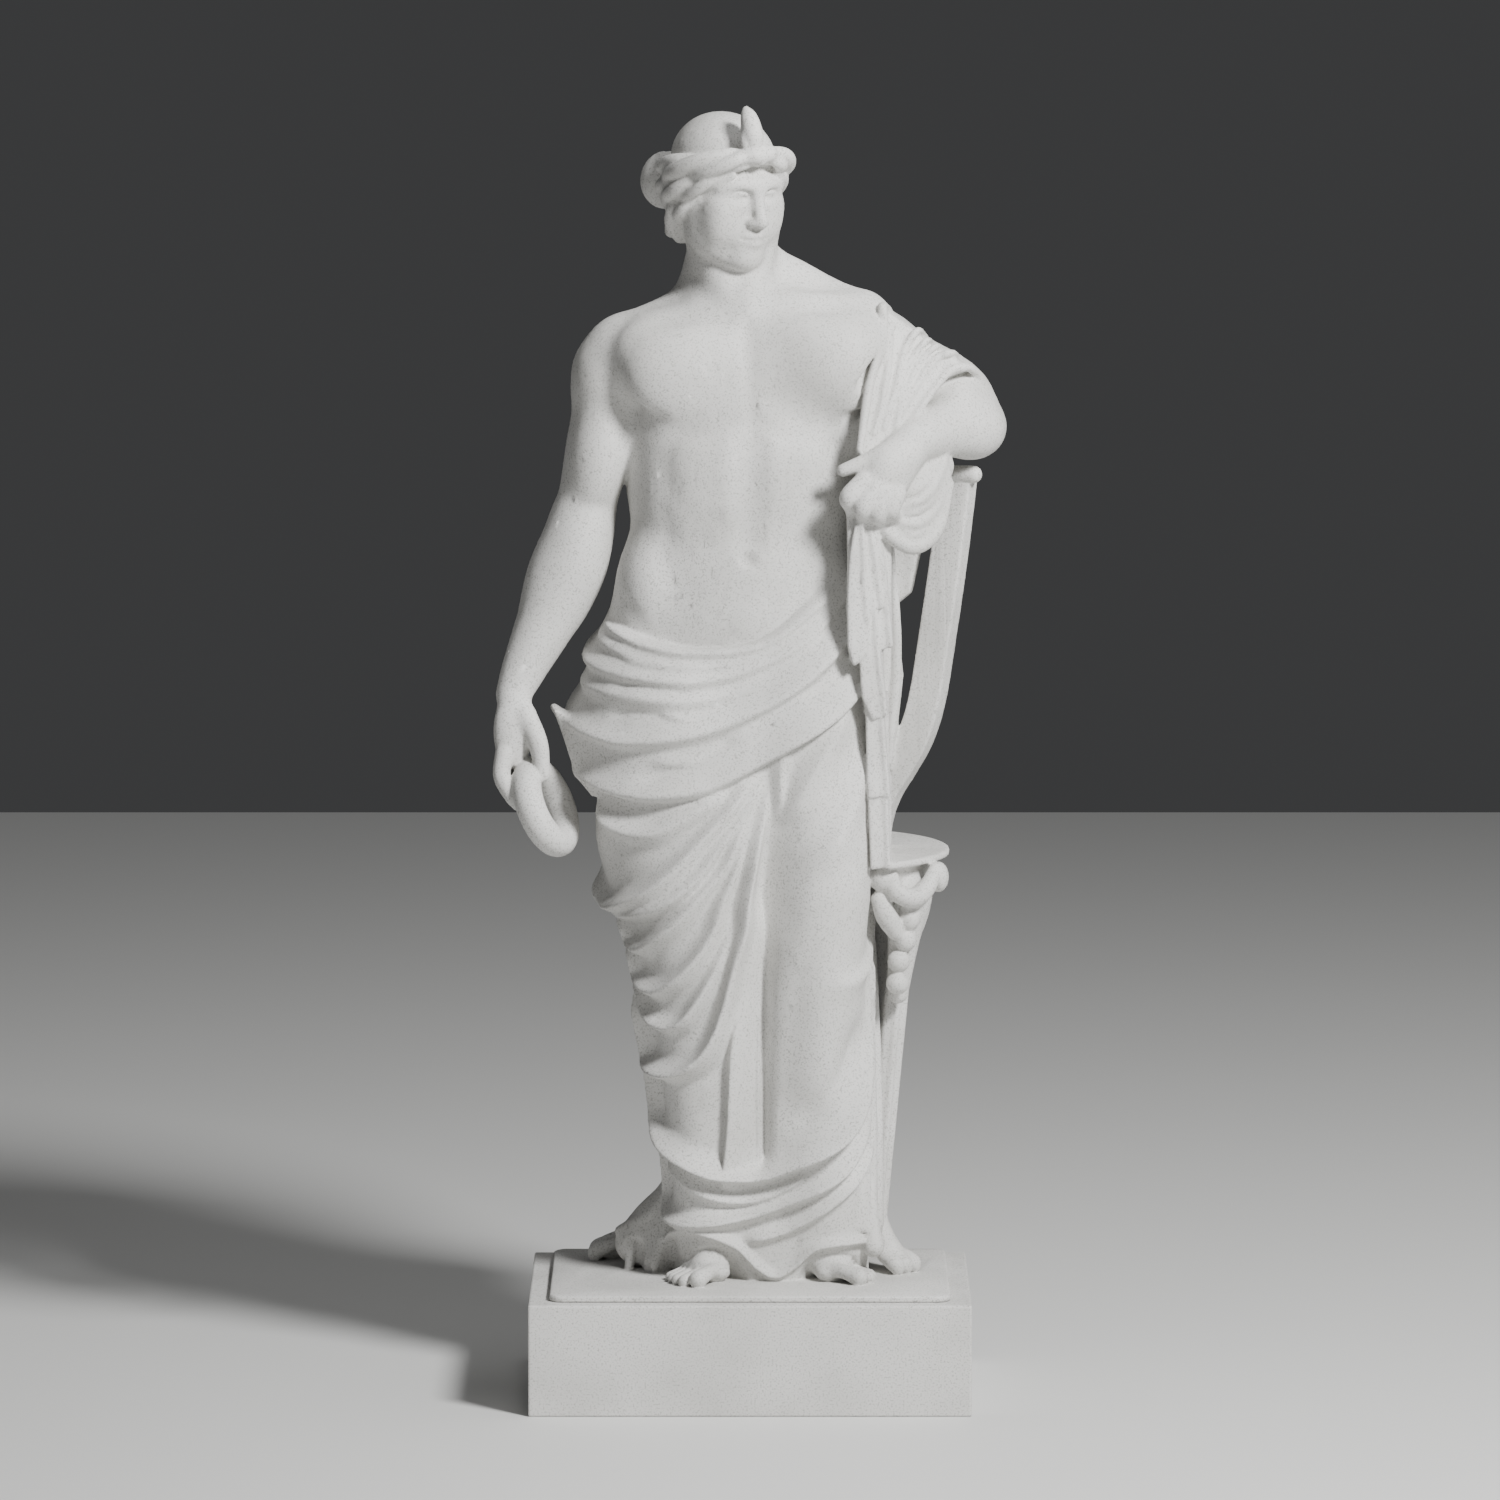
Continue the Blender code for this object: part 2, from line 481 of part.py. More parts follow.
        rod([(-0.8 + 0.2 * shift, -4.8, 3.7), (-1.0 + 0.8 * shift, -4.4, 5.0),
             (-1.0 + 0.3 * shift, -3.4, 6.7)], (0.3, 0.42, 0.25), 0.15)
    rod([(-1.9, -4.4, 3.6), (-1.0, -5.1, 3.9), (-0.5, -5.2, 3.5)], (0.7, 0.75, 0.5), 0.2)
    rod([(1.1, -4.5, 3.7), (0.2, -5.1, 4.0), (-0.5, -5.2, 3.6)], (0.7, 0.75, 0.5), 0.2)
    rod([(-0.6, -4.9, 3.2), (-0.55, -5.3, 3.7), (-0.7, -4.9, 4.3)], (0.4, 0.45, 0.35), 0.15)
    stone.join(block, 0.5)


# The cloth

HEM_POWER = 2.5
# height: the drape's left, right, front and back
DRAPE_SIZES = (
    (88, (-6.0, 11.6, -2.0, 4.5)),
    (80, (-10.6, 11.8, -4.0, 6.6)),
    (72, (-9.4, 11.0, -5.6, 7.3)),
    (64, (-9.5, 10.2, -6.0, 6.9)),
    (57, (-12.3, 10.0, -6.6, 8.0)),
    (50, (-14.5, 10.2, -7.1, 8.6)),
    (43, (-13.2, 10.1, -7.2, 7.8)),
    (38, (-13.2, 9.8, -7.2, 7.2)),
    (34, (-12.0, 9.4, -7.0, 6.6)),
    (31, (-10.0, 9.4, -6.9, 6.4)),
    (28, (-8.9, 9.4, -6.7, 6.2)),
    (24, (-7.9, 9.6, -6.4, 6.0)),
    (16, (-6.2, 9.6, -5.5, 6.2)),
    (8, (-5.7, 9.9, -4.8, 6.6)),
    (0, (-6.4, 10.3, -4.6, 7.0)),
)


def girth(z):
    """The drape's left, right, front and back at a height."""
    heights = np.array([row[0] for row in DRAPE_SIZES], float)[::-1]
    sides = np.array([row[1] for row in DRAPE_SIZES], float)[::-1]
    fine = smooth_path(np.column_stack([heights, sides]), 200)
    return [np.interp(z, fine[:, 0], fine[:, i]) for i in (1, 2, 3, 4)]


def round_at(x, z, back=False):
    """Where a place seen from the front lies on the map that goes round the drape."""
    left, right, _, _ = girth(z)
    share = np.clip((x - (left + right) / 2) / ((right - left) / 2), -0.995, 0.995)
    turn = math.atan2(share, (1 - abs(share) ** HEM_POWER) ** (1 / HEM_POWER))
    if back:
        turn = math.copysign(math.pi, turn) - turn
    return MAP_RADIUS * turn


def seen(*places):
    """Places in the front view, as places on the map."""
    return [(round_at(x, z), z) for x, z in places]


def about(*places):
    """Places given as degrees round from the front and a height."""
    return [(MAP_RADIUS * math.radians(turn), z) for turn, z in places]


DRAPE_RIM = about((-180, 72), (-150, 65), (-120, 59.5), (-95, 57.4)) + seen(
    (-11.2, 56.4), (-8.6, 55.5), (-4.3, 55.0), (0.9, 55.8), (5.1, 58.8), (8.6, 62.6)
) + about((76, 70), (92, 77), (112, 81.5), (135, 81), (158, 77), (180, 72))


def draw_drape_folds(step):
    cloth = Folds((-MAP_RADIUS * math.pi, 0), (MAP_RADIUS * math.pi, 90), step)
    # The rolls round the waist, from the far hip to the hand
    cloth.ridge(about((-150, 65.2), (-118, 59.2)) + seen((-11.6, 56.6), (-8.6, 55.3), (-4.3, 54.6),
                (0.9, 55.3), (5.1, 58.2), (8.8, 62.2)), 1.2, 0.5, 0.8)
    cloth.ridge(about((-112, 57.0)) + seen((-11.2, 54.8), (-8.6, 53.8), (-2.6, 53.5), (3.4, 55.5),
                (7.3, 59.4), (9.6, 63.2)), 1.4, 0.4, 0.8)
    cloth.ridge(about((-125, 57.5), (-100, 54.6)) + seen((-11.2, 52.9), (-6.0, 52.2), (-0.9, 53.0),
                (4.3, 55.8), (8.2, 60.2), (9.8, 63.5)), 1.8, 0.6, 0.6)
    cloth.ridge(about((-110, 52.4)) + seen((-9.4, 50.9), (-4.3, 50.6), (1.7, 52.4), (6.9, 57.0)), 1.6, 0.4,
                0.8)
    cloth.ridge(seen((-8.0, 49.6), (-3.6, 48.9), (0.6, 50.4), (4.6, 53.2)), 1.1, 0.35, 0.7)
    cloth.valley(seen((-11.6, 51.6), (-8.4, 51.9), (-5.2, 51.3)), 1.0, 0.5)
    cloth.valley(seen((-12.0, 49.0), (-9.2, 49.5), (-5.6, 48.9)), 1.0, 0.5)
    # The overfold: a rolled upper edge and a free lower hem
    upper = about((-128, 53), (-100, 49.5)) + seen((-12.4, 47.4), (-9.4, 47.0), (-4.3, 47.8), (0.9, 50.2),
            (5.1, 54.0), (8.6, 58.8), (9.7, 62.0))
    lower = about((-160, 54), (-125, 47.6), (-100, 44.3)) + seen((-12.6, 42.9), (-9.4, 42.0), (-6.0, 42.0),
            (-2.6, 43.0), (1.7, 45.7), (6.0, 49.4), (8.2, 52.4), (9.7, 56.5))
    cloth.ridge(upper, 2.4, 0.95, 0.35, (0.2, 0.1))
    cloth.overlap(lower, 0.55)
    cloth.ridge([(s, z + 0.5) for s, z in lower], 2.4, 0.7, 0.22, (0.1, 0.1))
    cloth.valley(seen((-9.4, 43.6), (-4.3, 45.6), (-0.9, 47.7)), 1.1, 0.35)
    cloth.ridge(seen((-8.2, 45.2), (-3.4, 45.6), (1.0, 48.4), (5.0, 52.0)), 1.2, 0.3, 0.7)
    # Swags that hang from the far hip and gather above the knee
    cloth.ridge(seen((-13.0, 42.5), (-12.2, 40.6), (-10.4, 39.3), (-7.6, 39.2), (-4.3, 41.0), (-0.9, 44.0)),
                2.2, 0.95, 0.6, (0.3, 0.15))
    cloth.ridge(about((-120, 35.5)) + seen((-11.4, 32.3), (-9.0, 33.3), (-6.0, 35.8), (-2.6, 40.1),
                (1.3, 45.7)), 1.7, 1.1, 0.6)
    hem = about((-135, 36), (-100, 32.5)) + seen((-11.4, 31.3), (-7.7, 31.9), (-4.3, 34.6), (-0.9, 40.1),
            (1.5, 44.8))
    cloth.overlap(hem, 0.45, fall=3.5, ends=4.0)
    cloth.ridge([(s, z + 0.3) for s, z in hem], 1.6, 0.8, 0.35, (0.55, 0.15))
    cloth.ridge(about((-125, 33.5)) + seen((-10.6, 30.6), (-9.6, 29.2), (-8.0, 28.9), (-5.1, 31.8),
                (-2.3, 35.9), (-0.6, 40.1), (1.2, 46.0)), 1.7, 1.15, 0.5, (0.15, 0.2))
    cloth.ridge(about((-120, 31.0)) + seen((-9.6, 28.0), (-8.6, 26.2), (-6.6, 25.3), (-4.0, 27.9),
                (-1.9, 34.0), (-0.3, 39.4), (1.4, 46.2)), 1.7, 1.2, 0.5, (0.15, 0.25))
    cloth.ridge(about((-115, 28.0)) + seen((-8.9, 25.0), (-7.2, 22.9), (-5.1, 22.3), (-3.4, 24.8),
                (-1.6, 30.5), (0.0, 37.0)), 1.6, 1.2, 0.5, (0.15, 0.35))
    cloth.ridge(about((-110, 30.0)) + seen((-9.0, 24.0), (-8.4, 20.6), (-7.2, 18.8), (-5.3, 18.0),
                (-3.5, 18.8), (-2.1, 21.6), (-1.0, 27.6), (-0.1, 34.7), (1.4, 45.0)), 1.8, 1.7, 0.4,
                (0.15, 0.1))
    # The hollow between the legs, and the upright folds in it
    cloth.valley(seen((2.2, 41), (1.6, 33.8), (1.2, 25.1), (1.0, 16.5), (0.8, 10)), 1.8, 1.5, 1.0,
                 (0.3, 0.1))
    cloth.ridge(seen((1.9, 36.0), (1.0, 26), (0.6, 17), (0.5, 9.5)), 0.9, 0.5, 0.4, (0.5, 0.1))
    cloth.ridge(seen((2.6, 33.0), (2.1, 26), (2.0, 18)), 2.0, 0.6, 0.25, (0.3, 0.5))
    cloth.ridge(seen((-0.6, 26.0), (-1.2, 19.0), (-1.5, 9.0)), 2.0, 0.9, 0.3, (0.5, 0.03))
    # Pulls across the forward thigh
    cloth.ridge(seen((7.4, 51.4), (5.55, 47.6), (3.6, 43.6), (2.1, 39.6)), 2.0, 0.6, 0.35, (0.3, 0.2))
    cloth.ridge(seen((8.4, 48.5), (7.3, 43.6), (5.55, 39.8), (3.4, 35.5)), 2.4, 0.65, 0.35, (0.3, 0.25))
    cloth.ridge(seen((2.8, 48.0), (2.1, 44.6), (1.9, 39.5)), 0.9, 0.5, 0.8, (0.1, 0.3))
    cloth.ridge(seen((9.9, 42.0), (9.9, 34.5), (9.2, 29.3), (7.6, 26.6), (5.5, 26.1), (3.7, 27.4),
                     (2.6, 29.5)),
                1.7, 0.7, 0.6, (0.2, 0.4))
    cloth.valley(seen((8.4, 24.2), (6.6, 17.8), (3.2, 11.9)), 3.0, 0.8, 1.0, (0.3, 0.3))
    # The wide swags below the knees
    cloth.ridge(seen((-8.3, 22.0), (-7.3, 17.0), (-5.8, 13.4), (-3.4, 10.3), (-0.9, 9.1), (2.6, 9.7),
                (6.9, 13.3), (8.9, 19.5), (9.2, 26.5), (9.3, 33.9)), 1.8, 1.6, 0.35, (0.1, 0.4))
    cloth.ridge(seen((-5.4, 11.0), (-3.9, 8.7), (-1.3, 7.1), (1.9, 7.6), (5.0, 9.8)), 1.2, 0.7, 0.6)
    cloth.ridge(seen((-7.9, 16.0), (-7.2, 11.0), (-6.2, 6.6), (-4.3, 4.9), (0.9, 6.0), (6.0, 9.0),
                (8.9, 14.8), (9.4, 21.7), (9.5, 29.5)), 1.5, 1.1, 0.5, (0.1, 0.4))
    cloth.ridge(seen((-0.9, 3.4), (3.4, 4.7), (7.3, 8.3), (10.0, 13.5)), 1.2, 0.8, 0.6)
    cloth.ridge(seen((-7.0, 0.8), (-6.4, 2.8), (-5.0, 4.1), (-3.0, 4.3), (-1.0, 3.2), (0.6, 1.4), (2.1, 0.5),
                (3.7, 1.4), (5.2, 3.0), (7.6, 3.4), (10.0, 3.3)), 0.9, 0.7, 0.5, (0.05, 0.05))
    for places, height in (
        (about((84, 36), (86, 30), (88, 20), (86, 2.5)), 0.95),
        (about((70, 30), (75, 24), (75, 14), (74, 3.0)), 0.85),
        (about((60, 24), (63, 16), (58, 9), (50, 4.0)), 0.6),
        (about((98, 31), (100, 15), (100, 2.5)), 0.9),
    ):
        cloth.ridge(places, 1.0, height, 1.0, (0.2, 0.02))
    # The back: slanting folds up to the shoulder, then upright ones down to the ground
    cloth.family(about((-112, 55), (-150, 58), (-185, 64), (-225, 74)), about((-105, 36), (-145, 38),
                 (-190, 46), (-235, 60)), 4, 2.0, 0.9, 0.6, (0.2, 0.1))
    cloth.family(about((180, 68), (150, 73), (125, 80)), about((180, 46), (150, 56), (112, 70)), 5, 1.8,
                 0.9, 0.6)
    cloth.family(about((-175, 44), (-170, 24), (-175, 4)), about((-100, 30), (-104, 16), (-108, 4)),
                 5, 1.6, 1.0, 0.9, (0.3, 0.02))
    cloth.family(about((178, 42), (175, 24), (178, 4)), about((100, 50), (98, 26), (100, 4)),
                 6, 1.6, 1.0, 0.9, (0.3, 0.02))
    return cloth


def carve_drape(stone, step):
    cloth = draw_drape_folds(step)
    rim = smooth_path(DRAPE_RIM, 120)
    legs = (
        limb([(5.0, -1.8, 52), (6.0, -4.1, 38), (6.0, -4.7, 28), (6.2, -3.5, 16), (6.9, -2.0, 3)],
             (5.0, 4.4, 3.7, 3.1, 2.6), 33),
        limb([(-6.6, -1.0, 50), (-4.7, -2.4, 28), (-3.6, -2.2, 4)], (6.0, 3.7, 2.5), 9),
    )

    def distance(x, y, z):
        left, right, front, back = girth(z)
        half, depth = (right - left) / 2, (back - front) / 2
        px, py = (x - (left + right) / 2) / half, (y - (front + back) / 2) / depth
        out = (np.abs(px) ** HEM_POWER + np.abs(py) ** HEM_POWER) ** (1 / HEM_POWER)
        found = (out - 1) * np.minimum(half, depth)
        for leg in legs:
            found = least(found, leg[0](x, y, z), 2.0)
        turn = MAP_RADIUS * np.arctan2(px, -py)
        found = found - cloth.look(turn, z)
        top = np.interp(turn, rim[:, 0], rim[:, 1])
        return most(found, (z - top) * 0.85, 0.5)

    drape = stone.room((-20, -13, -1), (17, 14, 90))
    drape.add((distance, np.array([-18.0, -11.5, 0.0]), np.array([15.0, 11.5, 88.0])), 0)
    # The far corner of the overfold stands clear of the hip
    drape.add(panel([(-16.9, 49.3), (-15.9, 46.6), (-14.9, 43.5), (-13.5, 41.9), (-10.4, 42.2),
                     (-10.4, 47.2),
                     (-13.0, 47.3), (-15.2, 48.4)], -2.3, 1.3, edge=0.12, lean=(-0.5, 0)), 0.4)
    drape.add(limb([(-16.8, -0.2, 49.3), (-15.3, -1.6, 48.3), (-13.0, -3.6, 47.3), (-10.4, -5.6, 46.9)],
                   (0.3, 0.5, 0.6, 0.6)), 0.4)
    # The train that spreads over the ground on the far side
    drape.add(limb([(-5.2, 3.4, 11.0), (-5.9, 3.4, 8.0), (-6.9, 3.3, 6.0), (-8.3, 3.2, 4.2),
                    (-9.7, 3.0, 2.2)],
                   (0.9, 1.3, 1.5, 1.8, 2.0)), 0.8)
    drape.add(limb([(-5.8, 1.8, 7.5), (-7.0, 1.4, 3.6), (-8.2, 0.8, 0.8)], (1.0, 1.5, 1.2)), 1.2)
    drape.add(limb([(-6.0, 2.4, 9.0), (-8.2, 1.7, 5.2), (-11.3, 2.6, 3.3)], (0.3, 0.4, 0.4)), 0.5)
    drape.add(limb([(-6.2, 0.6, 6.4), (-7.4, 0.1, 3.0), (-8.4, -0.4, 0.7)], (0.3, 0.5, 0.5)), 0.5)
    drape.cut(limb([(-10.1, 0.6, 2.2), (-10.3, 0.5, 0)], (1.05, 1.15)), 0.15)
    drape.add(limb([(-10.1, 2.0, 3.0), (-10.5, 1.3, 0)], (0.5, 0.4)), 0.3)
    drape.cut(limb([(-9.0, -0.4, 0.6), (-9.2, -0.5, 0)], (0.55, 0.6)), 0.15)
    # Arches in the hem over each foot
    drape.cut(egg((-3.3, -6.4, -0.2), (3.8, 3.9, 3.7)), 0.3)
    drape.cut(egg((7.6, -5.8, -0.3), (3.9, 3.8, 3.0)), 0.3)
    # Upright folds gathered at the near side, down to a corner that hangs by the foot
    drape.add(limb([(9.8, 0.0, 31), (9.9, -0.2, 16), (10.1, -0.8, 4)], (0.7, 1.2, 1.2)), 0.6)
    for x, y, top, size in ((9.65, -2.0, 27.5, 0.42), (10.35, -1.3, 31.0, 0.48), (10.95, -0.3, 29.0, 0.42)):
        drape.add(limb([(x - 0.3, y + 0.5, top), (x, y, 0.6 * top), (x + 0.15, y - 0.7, 4.5)],
                       (0.5 * size, size, 1.1 * size)), 0.15)
    drape.add(limb([(10.4, -2.2, 8), (10.5, -2.8, 4.8), (10.6, -3.2, 2.9)], (0.4, 0.65, 0.95)), 0.35)
    stone.join(drape, 0.25)


def carve_shoulder_cloth(stone):
    shawl = stone.room((6, -12, 60), (25, 10, 88))
    shawl.add(limb([(10.6, 1.2, 80.0), (13.8, 2.3, 78.2), (17.0, 3.4, 76.2)], (2.9, 2.95, 2.9)), 0.8)

    def on_cloth(x, z):
        """A place on the slanting cloth between the shoulder and the hand."""
        return x, -7.2 + 0.42 * (z - 71) + 0.28 * (x - 9), z

    sheet = [(11.3, 83.6), (13.3, 82.3), (14.5, 81.3), (15.6, 80.3), (17.4, 79.5), (18.7, 78.4),
             (17.0, 77.8),
             (15.3, 76.2), (14.2, 74.6), (12.5, 72.0), (9.2, 70.6), (9.6, 75.0), (10.5, 79.0)]
    middle_x, middle_z = np.mean(sheet, 0)
    shawl.add(panel(sheet, on_cloth(middle_x, middle_z)[1] + 3, 6.0, edge=0.35, lean=(0.28, 0.42)), 0.6)
    # A groove in the chest beside its inner edge
    inner_edge = ((11.2, 82.2), (11.0, 81.0), (10.5, 78.8), (10.1, 77.4))
    groove = [(x - 0.7, y - 0.55, z) for x, y, z in (on_cloth(*place) for place in inner_edge)]
    stone.cut(limb(groove, (0.2, 0.5, 0.6, 0.3)), 0.9)
    # Folds that run from the top of the shoulder down to the hand
    folds = (
        (0.40, 0.5, ((11.3, 83.8), (11.4, 82.4), (11.07, 81.0), (10.55, 78.8), (10.1, 77.1), (9.8, 75.3),
                     (9.3, 72.0))),
        (0.30, 0.05, ((12.1, 82.2), (11.9, 80.5), (11.75, 78.8), (11.4, 76.7), (11.15, 75.4), (10.5, 73.3))),
        (0.32, 0.05, ((14.3, 81.7), (13.4, 80.6), (12.9, 79.2), (12.5, 77.3), (11.8, 75.3), (11.4, 73.7))),
        (0.28, 0.05, ((15.1, 80.9), (14.2, 79.9), (13.4, 78.8), (12.9, 77.6), (12.6, 76.2))),
        (0.26, 0.05, ((15.9, 80.4), (14.8, 79.5), (14.0, 78.3), (13.3, 76.9), (12.4, 75.0))),
        (0.32, 0.05, ((17.2, 79.8), (16.1, 79.5), (15.4, 78.9), (14.6, 77.8), (13.6, 76.3), (12.9, 75.2),
                      (12.4, 73.8))),
    )
    for size, proud, places in folds:
        path = [(x, y - proud, z) for x, y, z in (on_cloth(*place) for place in places)]
        top = path[0]
        over = (top[0] + 0.7, top[1] + 4.0, top[2] - 0.7)
        shawl.add(limb([over] + path, [0.6 * size] + [size] * (len(path) - 1) + [0.7 * size]), 0.22)
    # The rolled edge round the arm, above the elbow
    seam = ((14.0, 74.7), (14.8, 75.7), (15.4, 76.5), (16.2, 77.5), (17.0, 78.3), (17.9, 78.6))
    edge = [on_cloth(x, z) for x, z in seam]
    edge += [(18.7, -0.7, 78.5), (19.4, 0.6, 77.8), (20.0, 2.4, 76.5), (19.9, 4.6, 75.2), (18.9, 6.4, 74.0)]
    shawl.add(limb(edge, [0.3] * 4 + [0.36] * 7), 0.22)
    # The cloth caught under the hand and looped below the arm
    shawl.add(egg((15.7, -2.2, 70.2), (1.7, 1.6, 1.5)), 0.5)
    shawl.add(egg((13.6, -3.4, 67.8), (3.3, 2.8, 3.9), turned(0, 8, 0)), 1.0)
    for lift, size in ((0, 0.62), (0.22, 0.4), (0.42, 0.5), (0.66, 0.4), (0.85, 0.5)):
        shawl.add(limb([(10.2 + 0.9 * lift, -7.0, 66.8 + 0.9 * lift),
                        (11.8 + 1.1 * lift, -6.9, 64.9 + 2.9 * lift),
                        (13.9 + 0.6 * lift, -6.2 - 0.3 * lift, 63.7 + 4.8 * lift),
                        (15.9 - 0.3 * lift, -5.2, 65.1 + 4.6 * lift),
                        (16.9 - 0.4 * lift, -3.4, 68.8 + 2.6 * lift)],
                       (0.7 * size, size, 1.1 * size, size, 0.8 * size)), 0.25)
    stone.join(shawl, 0.25)
    # The cloth that falls behind the arm
    fall = panel([(9.5, 70), (11.4, 66), (12.0, 60.2), (12.7, 56.5), (13.2, 51.6), (12.7, 47.0),
                  (12.0, 43.5), (9.0, 43)],
                 4.2, 3.0, edge=0.5)
    stone.add(fall, 0.4)
    for x in (10.2, 11.2, 12.2):
        stone.add(limb([(x - 0.4, 2.6, 66), (x + 0.4, 2.5, 54), (x - 0.3, 2.7, 44)], (0.3, 0.45, 0.35)), 0.3)


def carve_pleats(stone):
    """The stepped pleats that hang from under the hand, each one behind the one above."""
    thick = PLEAT_THICKNESS / SHARE
    pleats = (
        (-7.7, [(9.1, 67.0), (9.7, 67.0), (9.95, 61.7), (10.2, 57.6), (10.0, 54.7), (8.8, 53.6),
                (8.3, 55.3), (8.2, 59.0),
                (8.4, 63.0)]),
        (-7.2, [(9.5, 66.5), (10.2, 66.5), (10.9, 62.8), (11.4, 58.7), (10.2, 58.3)]),
        (-6.7, [(10.0, 66.0), (10.8, 66.0), (11.6, 61.6), (12.2, 55.3), (11.1, 54.9)]),
        (-6.9, [(8.9, 57.0), (10.6, 57.0), (11.2, 54.0), (11.8, 49.5), (10.4, 48.9), (9.5, 51.0)]),
        (-6.2, [(9.8, 51.0), (11.3, 51.0), (11.7, 46.0), (12.0, 42.4), (10.0, 42.2)]),
        (-5.7, [(10.0, 44.0), (11.7, 44.0), (12.0, 36.5), (10.3, 36.3)]),
    )
    for middle, outline in pleats:
        stone.add(panel(outline, middle, thick, edge=0.15, lean=(0.35, -0.02)), 0.12)
        centre_x, centre_z = np.mean(outline, 0)
        ridge = [(x - 0.28, middle - thick / 2 + 0.35 * (x - 0.28 - centre_x) - 0.02 * (z - centre_z), z)
                 for x, z in outline[1:4]]
        stone.add(limb(ridge, (0.2, 0.24, 0.2)), 0.15)
        spine = sum(x for x, _ in outline) / len(outline)
        low, high = min(z for _, z in outline), max(z for _, z in outline)
        stone.add(panel([(spine - 1.0, high), (spine + 0.9, high), (spine + 0.9, low + 0.5),
                         (spine - 0.7, low + 0.5)],
                        middle + 1.8, 3.4, edge=0.2, lean=(0.35, -0.02)), 0.3)


# The tripod and the lyre

TRIPOD_X, TRIPOD_Y = 3.6, 4.6
BOWL_TOP = 36.6


def carve_tripod(stone):
    rim, radius = BOWL_RIM / SHARE, BOWL_RADIUS / SHARE
    stand = stone.room((-16, -9, -1), (20, 19, 40))
    profile = [(0, BOWL_TOP - 0.3), (radius - 0.6, BOWL_TOP - 0.05), (radius - 0.3, BOWL_TOP),
               (radius, BOWL_TOP - 0.1), (radius, BOWL_TOP - rim), (radius - 0.8, BOWL_TOP - rim - 0.2),
               (radius - 1.7, BOWL_TOP - 2.6), (radius - 3.4, BOWL_TOP - 4.6), (0, BOWL_TOP - 6.4)]
    stand.add(turning(profile, TRIPOD_X, TRIPOD_Y), 0.1)
    stand.add(limb([(TRIPOD_X, TRIPOD_Y, 31), (TRIPOD_X, TRIPOD_Y, 20), (TRIPOD_X, TRIPOD_Y, 2)],
                   (3.4, 2.0, 3.4)), 0.8)
    # Each leg: its top, ankle and toe, and the way its fluted face looks
    legs = (
        ((12.9, 1.6), (10.9, 1.8), (13.3, -0.5), (0.3, -0.95)),
        ((-9.0, 6.4), (-6.3, 6.4), (-13.2, 6.7), (-0.7, -0.7)),
        ((4.0, 13.6), (4.0, 9.2), (4.0, 10.6), (0, 1)),
    )
    for top, ankle, toe, face in legs:
        stand.add(limb([(*top, 33.0), (*top, 30), (*ankle, 8), (*ankle, 3)], (1.5, 1.15, 0.85, 1.1)), 0.5)
        for shift, proud in ((-0.8, 0.5), (0, 0.9), (0.8, 0.5)):
            shift_x = -face[1] * shift + face[0] * proud
            shift_y = face[0] * shift + face[1] * proud
            stand.add(limb([(top[0] + shift_x, top[1] + shift_y, 29.5), (ankle[0] + shift_x * 0.7,
                            ankle[1] + shift_y * 0.7, 4.5)], (0.36, 0.3)), 0.12)
        # A paw with its toes
        out = Vector((toe[0] - ankle[0], toe[1] - ankle[1])).normalized()
        side = Vector((-out.y, out.x))
        stand.add(limb([(*ankle, 3.4), (toe[0] - out.x, toe[1] - out.y, 1.2)], (1.2, 1.1)), 0.8)
        for shift in (-1.1, -0.05, 1.0):
            place = (toe[0] + side.x * shift, toe[1] + side.y * shift)
            stand.add(limb([(place[0] - out.x * 1.4, place[1] - out.y * 1.4, 1.6), (*place, 1.0),
                            (place[0] + out.x * 0.3, place[1] + out.y * 0.3, 0.6)], (0.6, 0.72, 0.55)), 0.12)
    # The stone left behind the near leg
    stand.add(limb([(12.0, 2.8, 33), (11.8, 2.8, 24), (11.0, 2.6, 10)], (1.6, 1.15, 0.8)), 0.5)
    # Where the body stands in front of the bowl there is no room for it
    stand.cut(panel([(-20, 37.5), (11.9, 37.5), (11.9, 29), (-20, 29)], -8.6, 11, edge=0.05), 0.1)
    # A festoon with fruit and buds on the near leg
    stand.add(egg((11.3, -4.3, 35.1), (1.1, 1.1, 1.3)), 0.1)
    stand.add(limb([(12.1, -4.6, 35.2), (12.5, -4.6, 33.9), (13.9, -4.5, 33.3), (15.1, -3.8, 34.1),
                    (15.9, -2.4, 35.5)],
                   (0.6, 0.78, 0.82, 0.78, 0.6)), 0.12)
    stand.add(egg((16.2, -1.8, 34.8), (0.85, 1.3, 1.3)), 0.2)
    stand.add(limb([(11.1, -4.2, 33.2), (11.7, -4.1, 31.7), (12.5, -3.7, 30.3)], (0.75, 0.95, 0.75)), 0.12)
    stand.add(limb([(13.6, -2.0, 33), (13.2, -1.6, 29.5), (12.7, -1.0, 24.6)], (2.0, 1.4, 0.9)), 0.6)
    for x, z, wide, tall in ((13.6, 31.5, 1.0, 1.2), (13.3, 29.5, 0.95, 0.95), (12.75, 27.7, 0.98, 0.98),
                             (12.65, 25.8, 0.98, 0.98)):
        stand.add(egg((x, -3.2, z), (wide, wide, tall)), 0.08)
    stand.add(limb([(15.2, 0.2, 33.8), (14.6, -0.4, 31.6), (14.2, -0.6, 29.6)], (0.7, 0.8, 0.5)), 0.25)
    stone.join(stand, 0.15)


